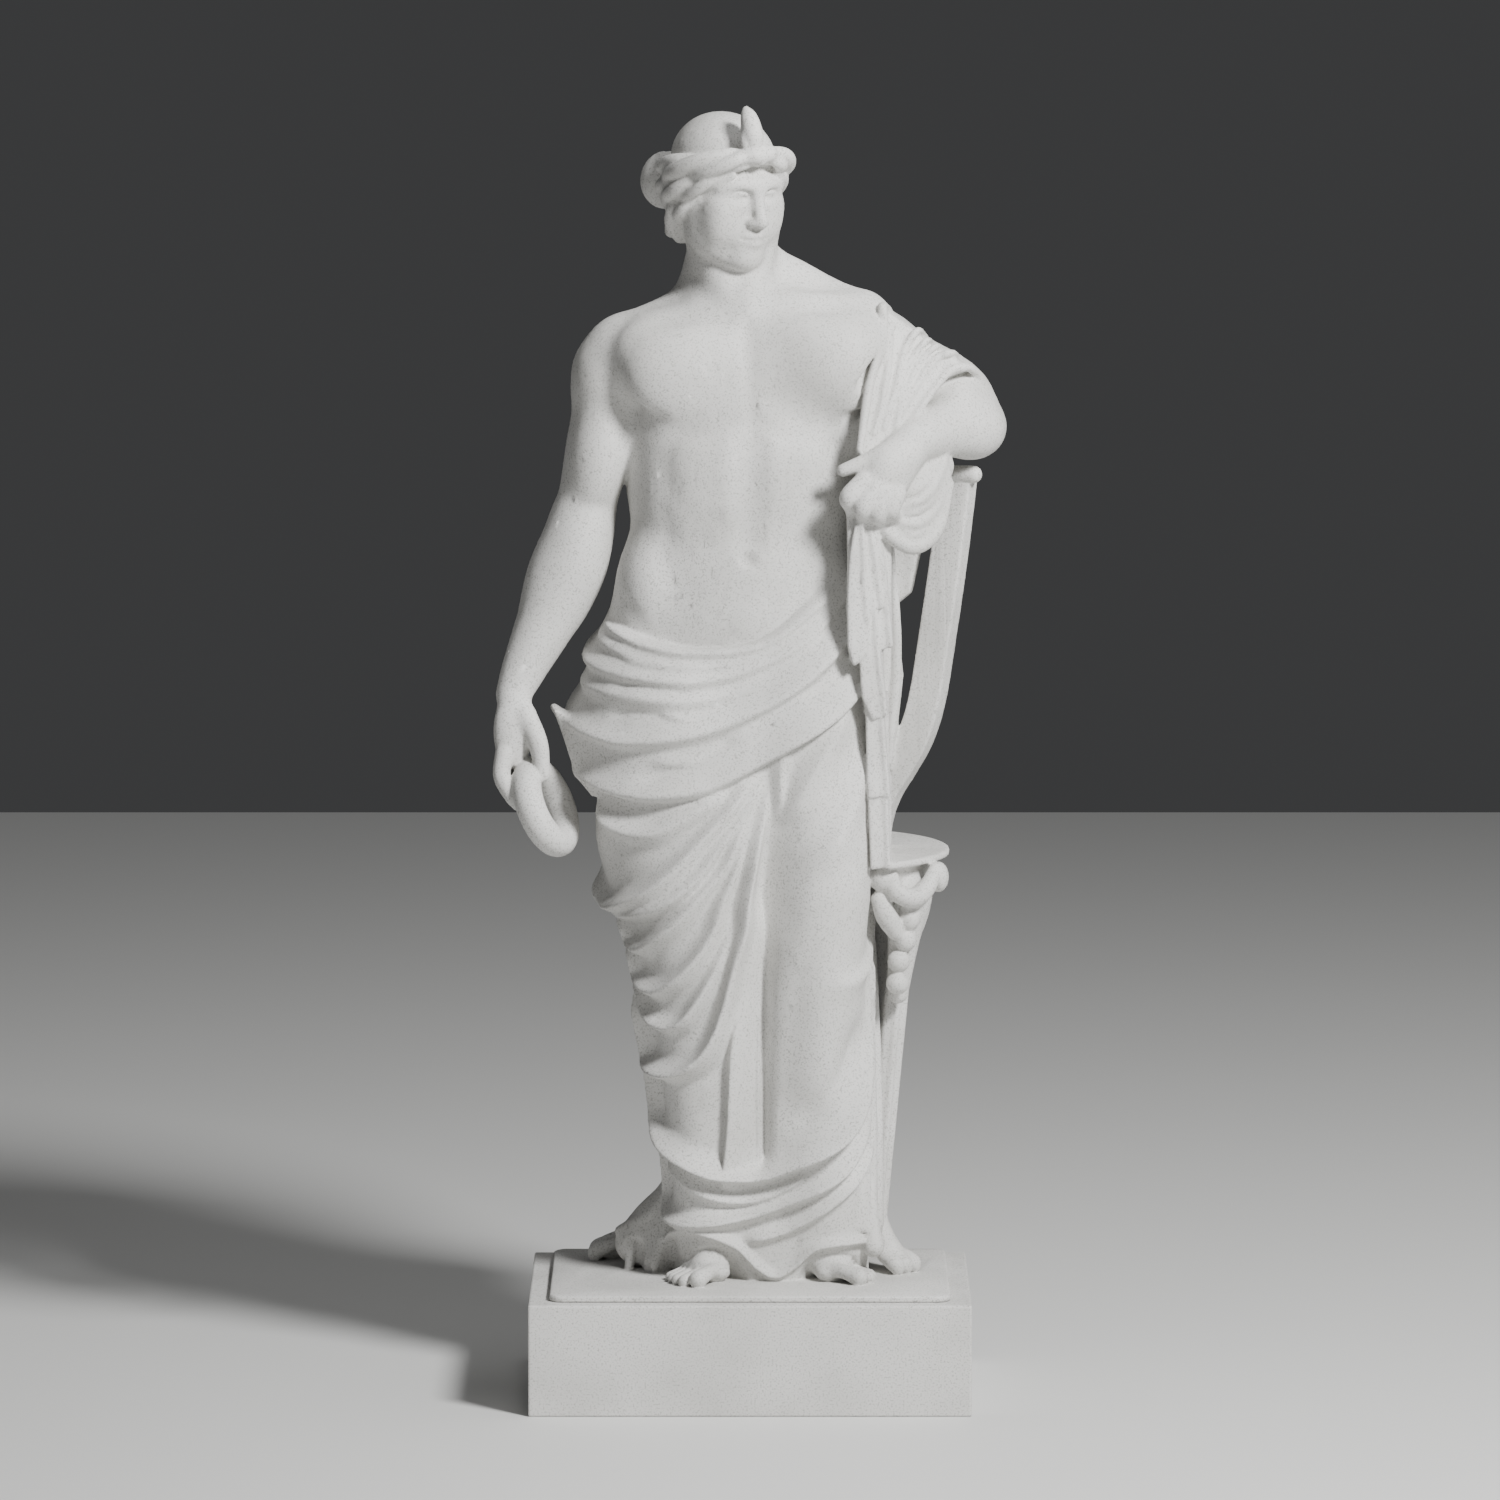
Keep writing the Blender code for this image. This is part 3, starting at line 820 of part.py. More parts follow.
def carve_lyre(stone):
    lyre = Pose((8.5, 6.6, BOWL_TOP), (0, 0, -20))
    arm_wide, arm_deep = LYRE_ARM_WIDTH / SHARE / 2, LYRE_ARM_DEPTH / SHARE
    block = stone.room((-5, -4, 35), (24, 18, 74))
    spine = smooth_path([(2.4, 2.5), (3.4, 4.9), (4.8, 7.1), (6.2, 9.6), (7.2, 12.8), (8.0, 17.5),
                         (9.2, 25.5),
                         (10.1, 32.9)], 24)
    run = np.gradient(spine, axis=0)
    across = np.column_stack([-run[:, 1], run[:, 0]]) / np.linalg.norm(run, axis=1)[:, None]
    edge = np.vstack([spine + across * arm_wide, (spine - across * arm_wide)[::-1]])
    for side in (-1, 1):
        block.add(panel([(side * x, z) for x, z in edge], 0, arm_deep, lyre, edge=0.12), 0.1)
        scroll = [lyre.at(side * 10.1 + shift, -0.7, 32.5) for shift in (-1.5, 1.5)]
        block.add(limb(scroll, (0.75, 0.75)), 0.1)
    block.add(panel([(-3.4, 0), (3.4, 0), (3.8, 2.5), (3.2, 6), (2.2, 9.5), (-2.2, 9.5), (-3.2, 6),
                     (-3.8, 2.5)],
                    0, 3.2, lyre, edge=0.5), 0.3)
    block.add(panel([(-2.2, 8), (2.2, 8), (3.6, 20.4), (5.6, 22), (6.6, 26.5), (-6.6, 26.5), (-5.6, 22),
                     (-3.6, 20.4)],
                    0.4, 1.0, lyre, edge=0.2), 0.2)
    block.add(limb([lyre.at(-10.4, 0.2, 29.5), lyre.at(10.4, 0.2, 29.5)], (0.7, 0.7)), 0.2)
    stone.join(block, 0.2)


def carve_wreath(stone):
    stone.add(ring((-17.5, -2.9, 41.0), (0.37, -0.12, -0.92), (0.33, 0.94, 0.0),
                   WREATH_RADIUS / SHARE, WREATH_THICKNESS / SHARE), 0.12)


def carve_feet(stone):
    for origin, yaw in (((-1.9, -1.4, 0), -36), ((4.5, -1.9, 0), 60)):
        foot = Pose(origin, (0, 0, yaw))
        inner = 1 if yaw < 0 else -1
        block = stone.room((origin[0] - 11, origin[1] - 9, -0.5), (origin[0] + 9, origin[1] + 6, 7))
        block.add(limb([foot.at(0, 1.5, 1.8), foot.at(0, -1.0, 2.3), foot.at(0.1 * inner, -3.6, 1.3)],
                       (2.0, 1.85, 1.2)), 0.8)
        block.add(egg(foot.at(0, -3.2, 0.95), (2.3, 1.5, 1.05), foot.turn), 0.6)
        toes = ((1.55, 6.5, 0.78), (0.33, 6.8, 0.56), (-0.68, 6.4, 0.52), (-1.6, 5.8, 0.48),
                (-2.4, 5.1, 0.44))
        for shift, length, size in toes:
            x = shift * inner
            block.add(limb([foot.at(x * 0.8, -3.4, 1.15), foot.at(x * 0.95, 1.5 - length, size + 0.35),
                            foot.at(x, -length, size)], (size * 0.9, size * 0.82, size)), 0.06)
        stone.join(block, 0.1)


def carve_ground(stone):
    """The thin slab under the feet, let down to its own underside."""
    half_x, half_y = SLAB_WIDTH / SHARE / 2, SLAB_DEPTH / SHARE / 2
    corner = SLAB_CORNER / SHARE
    low, high = -SLAB_TOP, 0.12

    def distance(x, y, z):
        qx, qy = np.abs(x) - half_x + corner, np.abs(y) - half_y + corner
        flat = np.hypot(np.maximum(qx, 0), np.maximum(qy, 0)) + np.minimum(np.maximum(qx, qy), 0) - corner
        return np.maximum(flat, np.maximum(z - high, low - z))

    stone.add((distance, np.array([-half_x, -half_y, low]), np.array([half_x, half_y, high])), 0.12)
    stone.value = np.maximum(stone.value, (low - stone.axes[2]).reshape(1, 1, -1))


# From the field to a mesh

def fill_doubtful(inside):
    """Fills the cells where the skin would touch itself along an edge or at a point."""
    for _ in range(8):
        before = inside.sum()
        for axis in range(3):
            faces = np.moveaxis(inside, axis, 0)
            a, b, c, d = faces[:, :-1, :-1], faces[:, 1:, :-1], faces[:, :-1, 1:], faces[:, 1:, 1:]
            doubtful = (a & d & ~b & ~c) | (b & c & ~a & ~d)
            for corner in (a, b, c, d):
                corner |= doubtful
        corners = [inside[i : i - 1 or None, j : j - 1 or None, k : k - 1 or None]
                   for i in (0, 1) for j in (0, 1) for k in (0, 1)]
        count = sum(corner.astype(np.int8) for corner in corners)
        for first in range(4):
            pair, rest = corners[first], corners[7 - first]
            doubtful = ((count == 2) & pair & rest) | ((count == 6) & ~pair & ~rest)
            for corner in corners:
                corner |= doubtful
        if inside.sum() == before:
            return


def skin(block):
    """Points and four-sided faces of the surface where the field is zero."""
    value = block.value
    inside = value < 0
    fill_doubtful(inside)
    value = np.where(inside, np.minimum(value, -0.02), np.maximum(value, 0.02))
    corner_steps = [(i, j, k) for i in (0, 1) for j in (0, 1) for k in (0, 1)]
    count = sum(inside[i : i - 1 or None, j : j - 1 or None, k : k - 1 or None].astype(np.int8)
                for i, j, k in corner_steps)
    cells = np.argwhere((count > 0) & (count < 8))
    number = np.full(count.shape, -1, np.int32)
    number[tuple(cells.T)] = np.arange(len(cells))
    at = {step: value[tuple((cells + step).T)] for step in corner_steps}
    total, crossings = np.zeros((len(cells), 3)), np.zeros(len(cells))
    for step in corner_steps:
        for axis in range(3):
            if step[axis]:
                continue
            other = tuple(s + (i == axis) for i, s in enumerate(step))
            a, b = at[step], at[other]
            crossed = (a < 0) != (b < 0)
            share = np.where(crossed, a / np.where(crossed, a - b, 1), 0)
            place = np.array(step, float)[None, :].repeat(len(cells), 0)
            place[:, axis] += share
            total += place * crossed[:, None]
            crossings += crossed
    local = cells + total / crossings[:, None]
    points = np.column_stack([np.interp(local[:, i], np.arange(len(axis)), axis)
                              for i, axis in enumerate(block.axes)])
    faces = []
    for axis in range(3):
        near = np.take(inside, range(inside.shape[axis] - 1), axis)
        far = np.take(inside, range(1, inside.shape[axis]), axis)
        u, v = (axis + 1) % 3, (axis + 2) % 3
        for crossing, flip in ((near & ~far, False), (~near & far, True)):
            edge = np.argwhere(crossing)
            edge = edge[(edge[:, u] > 0) & (edge[:, v] > 0)]
            shift_u, shift_v = np.eye(3, dtype=int)[u], np.eye(3, dtype=int)[v]
            around = [edge - shift_u - shift_v, edge - shift_v, edge, edge - shift_u]
            quad = np.column_stack([number[tuple(c.T)] for c in around])
            faces.append(quad[:, ::-1] if flip else quad)
    return points, np.vstack(faces)


def largest_piece(points, faces):
    """Only the faces that hang together with the widest piece."""
    label = np.arange(len(points))
    while True:
        lowest = label[faces].min(1)
        before = label.copy()
        for i in range(faces.shape[1]):
            np.minimum.at(label, faces[:, i], lowest)
        label = label[label]
        if (label == before).all():
            break
    names, sizes = np.unique(label[faces[:, 0]], return_counts=True)
    faces = faces[label[faces[:, 0]] == names[sizes.argmax()]]
    used = np.unique(faces)
    number = np.full(len(points), -1)
    number[used] = np.arange(len(used))
    return points[used], number[faces]


def carve_statue(cell=CELL):
    step = cell / SHARE
    low, high = (-24.0, -13.0, -SLAB_TOP - 2.5 * step), (24.0, 19.5, 102.5)
    stone = Block([np.arange(a, b, step, dtype=np.float32) for a, b in zip(low, high)])
    carve_torso(stone)
    carve_head(stone)
    carve_drape(stone, max(0.12, 0.6 * step))
    carve_tripod(stone)
    carve_lyre(stone)
    carve_shoulder_cloth(stone)
    carve_pleats(stone)
    carve_right_arm(stone)
    carve_left_arm(stone)
    carve_wreath(stone)
    carve_feet(stone)
    carve_ground(stone)
    return stone


def marble(name, colour):
    material = bpy.data.materials.new(name)
    material.use_nodes = True
    shader = material.node_tree.nodes["Principled BSDF"]
    shader.inputs["Base Color"].default_value = (*colour, 1)
    shader.inputs["Roughness"].default_value = 0.7
    shader.inputs["Metallic"].default_value = 0.0
    return material


def place(name, mesh, material):
    piece = bpy.data.objects.new(name, mesh)
    bpy.context.scene.collection.objects.link(piece)
    mesh.materials.append(material)
    return piece


def build_statue():
    points, faces = largest_piece(*skin(carve_statue()))
    underside = points[:, 2] < -SLAB_TOP + 0.2 * CELL / SHARE
    points[underside, 2] = -SLAB_TOP
    mesh = bpy.data.meshes.new("statue")
    mesh.from_pydata([tuple(p) for p in points * SHARE], [], [tuple(f) for f in faces.tolist()])
    piece = place("statue", mesh, marble("statue_marble", (0.60, 0.60, 0.59)))
    piece.location.z = PLINTH_HEIGHT + SEAT_GAP + SLAB_THICKNESS
    facets = piece.modifiers.new("facets", "DECIMATE")
    facets.ratio = FACETS / (2 * len(faces))
    return piece


def build_plinth():
    shape = bmesh.new()
    bmesh.ops.create_cube(shape, size=1)
    bmesh.ops.scale(shape, vec=(PLINTH_WIDTH, PLINTH_DEPTH, PLINTH_HEIGHT), verts=shape.verts)
    bmesh.ops.translate(shape, vec=(0, 0, PLINTH_HEIGHT / 2), verts=shape.verts)
    mesh = bpy.data.meshes.new("plinth")
    shape.to_mesh(mesh)
    shape.free()
    piece = place("plinth", mesh, marble("plinth_marble", (0.62, 0.62, 0.61)))
    edges = piece.modifiers.new("eased_edges", "BEVEL")
    edges.width = PLINTH_EDGE
    edges.segments = 2
    return piece


def main():
    for leftover in list(bpy.data.objects):
        bpy.data.objects.remove(leftover)
    build_plinth()
    build_statue()


if __name__ == "__main__":
    main()
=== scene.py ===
import math
import bmesh
import bpy
import numpy as np
from mathutils import Euler, Matrix, Vector


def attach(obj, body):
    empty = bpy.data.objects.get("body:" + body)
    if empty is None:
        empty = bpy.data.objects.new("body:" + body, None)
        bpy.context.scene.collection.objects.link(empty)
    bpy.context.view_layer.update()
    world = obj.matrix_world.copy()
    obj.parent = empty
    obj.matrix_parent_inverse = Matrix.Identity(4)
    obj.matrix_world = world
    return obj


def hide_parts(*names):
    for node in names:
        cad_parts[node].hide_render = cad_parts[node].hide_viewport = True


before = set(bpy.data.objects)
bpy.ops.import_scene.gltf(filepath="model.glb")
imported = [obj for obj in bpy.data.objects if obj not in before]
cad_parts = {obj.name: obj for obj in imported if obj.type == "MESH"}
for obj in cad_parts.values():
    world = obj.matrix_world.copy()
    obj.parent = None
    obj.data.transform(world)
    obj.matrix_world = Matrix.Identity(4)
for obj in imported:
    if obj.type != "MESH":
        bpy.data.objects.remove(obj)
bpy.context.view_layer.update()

print("frame loaded:", sorted(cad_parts))

sizes = {
    "figureHeight": 1.80,       # metres, sole to crown
    "plinthHeight": 0.173,
    "seatGap": 0.0003,
    "slabWidth": 0.616,         # the thin slab left under the feet
    "slabDepth": 0.430,
    "slabThickness": 0.008,
    "slabCorner": 0.022,
    "ringRadius": 0.058,        # the ring in the right hand
    "ringThickness": 0.046,
    "bowlRadius": 0.245,        # the tripod's bowl
    "bowlRim": 0.010,
    "lyreArmWidth": 0.050,
    "lyreArmDepth": 0.040,
    "pleatThickness": 0.020,
}
carving = {
    "cell": 0.0032,             # spacing of the carving's grid, in metres
    "headCell": 0.0021,         # closer round the face and hair
    "quickCell": 0.0060,
    "triangles": 196000,        # what the skin is thinned to
    "foldMapStep": 0.12,        # spacing of the drape's relief map, in shares
    "fillRounds": 8,            # how often doubtful cells are looked for
    "skinClear": 0.02,          # the skin keeps this far, in shares, from the grid's own points
    "undersideBand": 0.03,      # what lies this near the underside, in shares, is laid flat
    "foldAngle": 1.9,           # radians; an edge bent further than this is a sliver folded over
    "relaxRounds": 6,
}

# The carving works in shares: hundredths of the figure's height, from the ground between the feet
unit = sizes["figureHeight"] / 100
slabTop = sizes["slabThickness"] / unit
openAir = 9.0                   # what the field holds where there is no stone
margin = 0.8                    # room kept round a shape's box
mapRadius = 10.0                # turns degrees round the drape into places on its map
upright = Matrix.Identity(3)


# Fields: distances in shares, negative inside the stone

# The nearer of two distances, rounded where they meet
def least(a, b, blend):
    blend = np.maximum(blend, 1e-6)
    near = np.maximum(blend - np.abs(a - b), 0) / blend
    return np.minimum(a, b) - near * near * (blend / 4)


def most(a, b, blend):
    return -least(-a, -b, blend)


# The larger of two heights, rounded only where both stand above nothing
def higher(a, b):
    return most(a, b, np.clip(np.minimum(a, b), 0, 0.15))


# 0 to 1 with level ends
def stepUp(t):
    t = np.clip(t, 0, 1)
    return t * t * (3 - 2 * t)


# A block of space sampled on a grid; shapes are added to it or cut from it
class Block:
    def __init__(self, axes):
        self.axes = axes
        self.value = np.full([len(axis) for axis in axes], openAir, np.float32)
        self.spans = None

    def window(self, low, high):
        spans = tuple(slice(*np.searchsorted(axis, (a, b))) for axis, a, b in zip(self.axes, low, high))
        shapes = ((-1, 1, 1), (1, -1, 1), (1, 1, -1))
        return spans, [axis[span].reshape(shape) for axis, span, shape in zip(self.axes, spans, shapes)]

    # The part of this block that a shape reaches, and the shape's distances there
    def reached(self, shape, blend):
        distance, low, high = shape
        spans, places = self.window(low - blend - margin, high + blend + margin)
        return spans, distance(*places)

    def add(self, shape, blend):
        spans, found = self.reached(shape, blend)
        self.value[spans] = least(self.value[spans], found, blend)

    def cut(self, shape, blend):
        spans, found = self.reached(shape, blend)
        self.value[spans] = -least(-self.value[spans], found, blend)

    def egg(self, centre, radii, blend, turn=upright):
        self.add(egg(centre, radii, turn), blend)

    def limb(self, points, radii, blend, count=None):
        self.add(limb(points, radii, count), blend)

    # An empty block over part of this one, so that its shapes blend only with each other
    def room(self, low, high):
        spans, _ = self.window(low, high)
        inner = Block([axis[span] for axis, span in zip(self.axes, spans)])
        inner.spans = spans
        return inner

    # Lays a part's block into this one; between two heights the blend grows from 0.2
    def join(self, inner, blend, low=None, high=None):
        if low is not None:
            blend = 0.2 + (blend - 0.2) * stepUp((inner.axes[2] - low) / (high - low)).reshape(1, 1, -1)
        self.value[inner.spans] = least(self.value[inner.spans], inner.value, blend)


# A place and a turn: right, away from the viewer and up, as the part itself stands
class Pose:
    def __init__(self, origin, turn=(0, 0, 0)):
        self.origin = Vector(origin)
        self.turn = Euler([math.radians(a) for a in turn]).to_matrix()

    def at(self, *point):
        return tuple(self.origin + self.turn @ Vector(point))


def turned(x, y, z):
    return Euler([math.radians(a) for a in (x, y, z)]).to_matrix()


# An ellipsoid
def egg(centre, radii, turn=upright):
    m = np.array(turn.transposed(), np.float32)

    def distance(x, y, z):
        x, y, z = x - centre[0], y - centre[1], z - centre[2]
        out = near = 0
        for row, radius in zip(m, radii):
            along = (row[0] * x + row[1] * y + row[2] * z) / radius
            out = out + along**2
            near = near + (along / radius) ** 2
        out, near = np.sqrt(out), np.sqrt(near)
        return out * (out - 1) / np.maximum(near, 1e-4)

    reach = np.sqrt((np.array(turn) ** 2) @ (np.array(radii) ** 2))
    return distance, np.array(centre) - reach, np.array(centre) + reach


# Points along a smooth curve through the given ones, evenly spread by their index
def smoothPath(points, count):
    p = np.array(points, float)
    if len(p) < 3:
        return p[0] + np.linspace(0, 1, count)[:, None] * (p[-1] - p[0])
    p = np.vstack([2 * p[0] - p[1], p, 2 * p[-1] - p[-2]])
    t = np.linspace(0, len(p) - 3 - 1e-9, count)
    i = t.astype(int)
    f = (t - i)[:, None]
    a, b, c, d = p[i], p[i + 1], p[i + 2], p[i + 3]
    return 0.5 * (2 * b + (c - a) * f + (2 * a - 5 * b + 4 * c - d) * f**2 + (3 * b - a - 3 * c + d) * f**3)


# A round rod of changing radius along a smooth path, drawn as count points
def limb(points, radii, count=None):
    if count is None:
        count = 2 if len(points) == 2 else 7 * len(points) - 6
    spine = smoothPath([tuple(p) + (r,) for p, r in zip(points, radii)], count)

    def distance(x, y, z):
        found = None
        for a, b in zip(spine[:-1], spine[1:]):
            start, run = a[:3], b[:3] - a[:3]
            px, py, pz = x - start[0], y - start[1], z - start[2]
            t = np.clip((px * run[0] + py * run[1] + pz * run[2]) / max(run @ run, 1e-9), 0, 1)
            gap = np.sqrt((px - t * run[0]) ** 2 + (py - t * run[1]) ** 2 + (pz - t * run[2]) ** 2)
            gap = gap - (a[3] + t * (b[3] - a[3]))
            found = gap if found is None else np.minimum(found, gap)
        return found

    reach = spine[:, 3:].max()
    return distance, spine[:, :3].min(0) - reach, spine[:, :3].max(0) + reach


# Rods twisted round a smooth path, as in a lock of hair or a garland
def strands(points, radii, turns, count=3):
    spine = smoothPath([tuple(p) + (r,) for p, r in zip(points, radii)], 8 * len(points))
    run = np.gradient(spine[:, :3], axis=0)
    run /= np.linalg.norm(run, axis=1)[:, None]
    side = np.cross(run, (0.13, 0.21, 0.97))
    side /= np.linalg.norm(side, axis=1)[:, None]
    over = np.cross(run, side)
    for i in range(count):
        angle = 2 * math.pi * (i / count + turns * np.linspace(0, 1, len(spine)))
        around = side * np.cos(angle)[:, None] + over * np.sin(angle)[:, None]
        rope = spine[:, :3] + around * spine[:, 3:] * 0.5
        yield limb(rope, spine[:, 3] * 0.56, len(rope))


# Signed distance to a closed outline, negative inside
def outlineGap(x, z, outline):
    p = np.array(outline, float)
    nearest, inside = None, False
    for a, b in zip(p, np.roll(p, -1, 0)):
        run = b - a
        t = np.clip(((x - a[0]) * run[0] + (z - a[1]) * run[1]) / (run @ run), 0, 1)
        gap = (x - a[0] - t * run[0]) ** 2 + (z - a[1] - t * run[1]) ** 2
        nearest = gap if nearest is None else np.minimum(nearest, gap)
        if run[1]:
            crosses = ((z >= a[1]) != (z >= b[1])) & (x < a[0] + (z - a[1]) * run[0] / run[1])
            inside = inside ^ crosses
    return np.sqrt(nearest) * np.where(inside, -1, 1)


# An upright slab cut to an outline in x and z, centred on depth middle, which may lean with x and z
def panel(outline, middle, thickness, pose=None, edge=0.15, lean=(0, 0)):
    pose = pose or Pose((0, 0, 0))
    m = np.array(pose.turn.transposed(), np.float32)
    p = np.array(outline, float)
    centre = p.mean(0)

    def distance(x, y, z):
        x, y, z = x - pose.origin[0], y - pose.origin[1], z - pose.origin[2]
        x, y, z = (row[0] * x + row[1] * y + row[2] * z for row in m)
        flat = outlineGap(x, z, outline) + edge
        deep = np.abs(y - middle - lean[0] * (x - centre[0]) - lean[1] * (z - centre[1]))
        deep = deep - thickness / 2 + edge
        outside = np.sqrt(np.maximum(flat, 0) ** 2 + np.maximum(deep, 0) ** 2)
        return outside + np.minimum(np.maximum(flat, deep), 0) - edge

    depth = thickness / 2 + 1.5 + max(abs(lean[0]) * np.ptp(p[:, 0]), abs(lean[1]) * np.ptp(p[:, 1])) / 2
    corners = [
        pose.at(x, middle + side * depth, z)
        for x in (p[:, 0].min(), p[:, 0].max())
        for side in (-1, 1)
        for z in (p[:, 1].min(), p[:, 1].max())
    ]
    return distance, np.min(corners, 0), np.max(corners, 0)


# A solid turned about an upright axis from an outline of radius and height
def turning(profile, axisX, axisY):

    def distance(x, y, z):
        return outlineGap(np.sqrt((x - axisX) ** 2 + (y - axisY) ** 2), z, profile)

    p = np.array(profile, float)
    reach = p[:, 0].max()
    low = np.array([axisX - reach, axisY - reach, p[:, 1].min()])
    return distance, low, np.array([axisX + reach, axisY + reach, p[:, 1].max()])


# A round ring lying along two directions at right angles
def ring(centre, first, second, radius, thickness):
    first, second = np.array(first, float), np.array(second, float)
    first /= np.linalg.norm(first)
    second -= first * (first @ second)
    second /= np.linalg.norm(second)
    axis = np.cross(first, second)

    def distance(x, y, z):
        x, y, z = x - centre[0], y - centre[1], z - centre[2]
        a = x * first[0] + y * first[1] + z * first[2]
        b = x * second[0] + y * second[1] + z * second[2]
        c = x * axis[0] + y * axis[1] + z * axis[2]
        return np.sqrt((np.sqrt(a**2 + b**2) - radius) ** 2 + c**2) - thickness / 2

    reach = radius + thickness / 2
    return distance, np.array(centre) - reach, np.array(centre) + reach


# Relief drawn on a flat map of a cloth: ridges stand on layers, and valleys are sunk in them
class Folds:
    def __init__(self, low, high, step):
        self.across = np.arange(low[0], high[0] + step, step)
        self.up = np.arange(low[1], high[1] + step, step)
        self.step = step
        shape = (len(self.across), len(self.up))
        self.layer, self.crest, self.sunk = np.zeros(shape), np.zeros(shape), np.zeros(shape)

    # Where a stroke is on the map, and how strong it is there: 1 along it, 0 at its width
    def stroke(self, points, width, under, fade):
        path = smoothPath(points, 6 * len(points))
        reach = width * max(1, under)
        spans = tuple(
            slice(*np.searchsorted(axis, (path[:, i].min() - reach, path[:, i].max() + reach)))
            for i, axis in enumerate((self.across, self.up))
        )
        x, z = self.across[spans[0]][:, None], self.up[spans[1]][None, :]
        nearest = np.full((x.shape[0], z.shape[1]), 1e6)
        side, along = np.ones_like(nearest), np.zeros_like(nearest)
        for i, (a, b) in enumerate(zip(path[:-1], path[1:])):
            run = b - a
            t = np.clip(((x - a[0]) * run[0] + (z - a[1]) * run[1]) / max(run @ run, 1e-9), 0, 1)
            gap = np.hypot(x - a[0] - t * run[0], z - a[1] - t * run[1])
            closer = gap < nearest
            nearest = np.where(closer, gap, nearest)
            side = np.where(closer, run[0] * (z - a[1]) - run[1] * (x - a[0]), side)
            along = np.where(closer, (i + t) / (len(path) - 1), along)
        soft = 0.12 * width
        t = (np.hypot(nearest, soft) - soft) / (width * np.where(side < 0, under, 1))
        strength = np.clip(1 - t, 0, 1) ** 2
        starts = stepUp(along / fade[0]) if fade[0] else 1
        ends = stepUp((1 - along) / fade[1]) if fade[1] else 1
        return spans, strength * starts * ends

    def ridge(self, points, width, height, under=0.5, fade=(0.15, 0.15)):
        spans, strength = self.stroke(points, width, under, fade)
        self.crest[spans] = higher(self.crest[spans], height * strength)

    def valley(self, points, width, depth, under=1.0, fade=(0.2, 0.2)):
        spans, strength = self.stroke(points, width, under, fade)
        self.sunk[spans] = higher(self.sunk[spans], depth * strength)

    # Ridges spread evenly from the first stroke to the last
    def family(self, first, last, count, width, height, under=0.5, fade=(0.15, 0.15)):
        for share in np.linspace(0, 1, count):
            between = [(1 - share) * np.array(a) + share * np.array(b) for a, b in zip(first, last)]
            self.ridge(between, width, height, under, fade)

    # Cloth of this thickness above a hem that runs from left to right, thinner higher up
    def overlap(self, points, thickness, fall=7.0, ends=1.0, soft=0.25):
        path = smoothPath(points, 8 * len(points))
        hem = np.interp(self.across, path[:, 0], path[:, 1])
        slope = np.gradient(hem, self.across)
        rise = (self.up[None, :] - hem[:, None]) / np.sqrt(1 + slope[:, None] ** 2)
        held = stepUp((self.across - path[0, 0]) / ends) * stepUp((path[-1, 0] - self.across) / ends)
        self.layer += thickness * stepUp(rise / soft + 0.5) * (1 - stepUp(rise / fall)) * held[:, None]

    # The relief at places on the map
    def look(self, across, up):
        if not hasattr(self, "relief"):
            self.relief = (self.layer + self.crest - self.sunk).astype(np.float32)
        i = np.clip((across - self.across[0]) / self.step, 0, len(self.across) - 1.001)
        j = np.clip((up - self.up[0]) / self.step, 0, len(self.up) - 1.001)
        i, j = np.broadcast_arrays(i, j)
        a, b = i.astype(np.int32), j.astype(np.int32)
        s, t = i - a, j - b
        r = self.relief
        low = r[a, b] * (1 - s) + r[a + 1, b] * s
        high = r[a, b + 1] * (1 - s) + r[a + 1, b + 1] * s
        return low * (1 - t) + high * t


# The body, in shares: x to the viewer's right, y away from the viewer, z up from the ground

